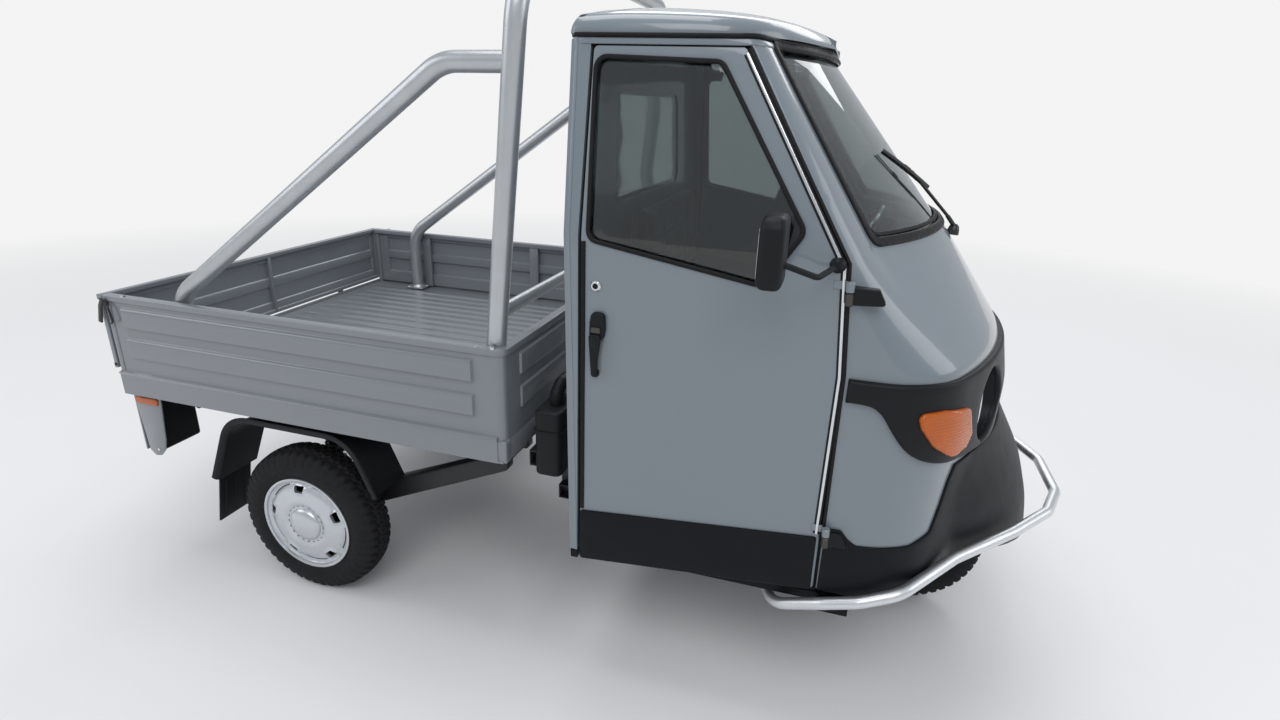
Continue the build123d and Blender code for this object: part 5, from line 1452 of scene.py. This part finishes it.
def add_seat():
    """Seat and backrest pads with sewn channels and piping."""
    seat = box((168, 497), (-262, 262), (603, 678), 26, 5)
    add_pad("seat_pad", seat, 12, 2, 0.655, 0.007, ((160, -270, 600), (505, 270, 690)))
    back = prism([(139, 786), (190, 786), (176, 1104), (139, 1104)], 14, 5, "y", -262, 262, 10, 4)
    add_pad("backrest_pad", back, 9, 0, 0.165, 0.006, ((134, -270, 780), (196, 270, 1110)))
    loop = round_rectangle((166, 499), (-264, 264), 30, 6)
    loop = spread([(x, y, 672) for x, y in loop], 20, closed=True)
    piece("seat_piping", [sweep(loop, circle(3.2, 10), True)], "seat_cover")


# Rake of the steering column, as x for each unit of z
RAKE = math.tan(math.radians(12))


def level_place(z):
    """A level plane as a surface for panels."""
    return lambda flat, offset: np.column_stack((flat, z + np.zeros(len(flat)) + offset))


def add_controls():
    """Dashboard with its dial, handlebar with grips and levers, pedals, mat and column boot."""
    turns = np.linspace(-0.78, 0.78, 30)
    inner = SHELL.place(np.column_stack((turns * SHELL.SPREAD, np.full(30, 1070.0))), -34)[:, :2]
    inner = np.array([p for p in inner if p[0] > 700])
    shelf_line = np.vstack((inner, [(694, inner[-1][1]), (694, inner[0][1])]))
    shelf = panel(level_place(1062), [shelf_line], 20, 6, 26)
    pod = prism([(692, 1003), (748, 1003), (748, 1106), (716, 1108), (693, 1052)], 9, 4, "y", -128, 128, 7, 3)
    piece("dash_shelf", [shelf, pod], "black_plastic", nodes=["dashboard"])
    slant = unit(np.array((-56.0, 0, 24)))
    spot = np.array((703.0, 0, 1080))
    ring = lathe(((-3, 36), (-3, 44), (5, 43), (6, 38), (2, 36)), spot, slant, 40)
    dial = lathe(((-3, 0), (-3, 37), (0, 37), (0, 0)), spot, slant, 40)
    piece("dial_ring", [ring], "polished_steel")
    piece("dial_face", [dial], "black_plastic")
    ticks = []
    across, up = np.array((0, 1.0, 0)), np.cross(slant, (0, 1.0, 0))
    for k in range(11):
        turn = math.radians(-30 + 24 * k)
        way = math.cos(turn) * across + math.sin(turn) * up
        ticks.append(rod(spot + slant * 0.4 + way * 28, spot + slant * 0.4 + way * 34, 0.9, 8, 0.2))
    ticks.append(rod(spot + slant, spot + slant + unit(across - 0.4 * up) * 26, 1.1, 8, 0.3))
    piece("dial_marks", ticks, "orange_lens")

    column_x = FRONT_X - (950 - AXLE_Z) * RAKE
    half = [(column_x - 90, 290, 940), (column_x - 60, 170, 950), (column_x, 60, 950)]
    route = half + [(x, -y, z) for x, y, z in reversed(half)]
    bar = sweep(bent(route, 32, 7), circle(11, 18), up=(0, 0, 1))
    shroud = prism(rectangle((column_x - 44, column_x + 44), (-72, 72)), 18, 5, "z", 933, 980, 9, 4)
    piece("handlebar_tube", [bar, shroud], "black_metal", "steering", ["handlebar"])
    end, knee = (np.array(p, float) for p in half[:2])
    way = unit(knee - end)
    profile = [(0, 0), (0, 14), (2, 16)]
    for a in range(5, 103, 7):
        profile += [(a, 15.6), (a + 1.6, 14.2), (a + 3.2, 15.6)]
    profile += [(104, 16), (106, 13), (106, 0)]
    grip = lathe(profile, end + way * 0.5, way, 24)
    lever = bent([knee + way * 4 + np.array((8, 0, 0)), knee + np.array((24, 4, -2)), end + np.array((34, 18, -4)),
                  end + np.array((30, -2, -4))], 14, 5)
    lever[:, 1] = np.minimum(lever[:, 1], 288)
    rubber_piece("handlebar_grips", on_both(grip), "steering")
    piece("handlebar_levers", on_both(sweep(lever, rounded_section(9, 6, 2))), "polished_steel", "steering")
    boot = [(0, 0), (0, 48), (6, 46)]
    for k in range(6):
        boot += [(10 + 14 * k, 44 - 3 * k), (17 + 14 * k, 36 - 3 * k)]
    boot += [(96, 23), (96, 0)]
    foot = (FRONT_X - (510 - AXLE_Z) * RAKE, 0, 508)
    rubber_piece("column_boot", [lathe(boot, foot, (-RAKE, 0, 1), 32)])
    mat_line = round_rectangle((510, 642), (-520, 520), 20, 4)
    mat = panel(level_place(350), [mat_line], 3, 1.5, 40, height=4)
    pedals = [box((650, 662), (-150, -90), (392, 452), 5, 3), box((652, 700), (-126, -114), (352, 400), 3)]
    rubber_piece("floor_mat", [mat])
    piece("brake_pedal", pedals, "black_metal")


for build in (add_camera, add_studio, dress_nodes, add_cab, add_roof, add_doors, add_nose_trim, add_bumper, add_bed,
              add_roll_bar, add_wheels, add_hinges, add_wiper, add_mudguards, add_tail, add_underside, add_members,
              add_bed_fittings, add_seat, add_controls):
    build()
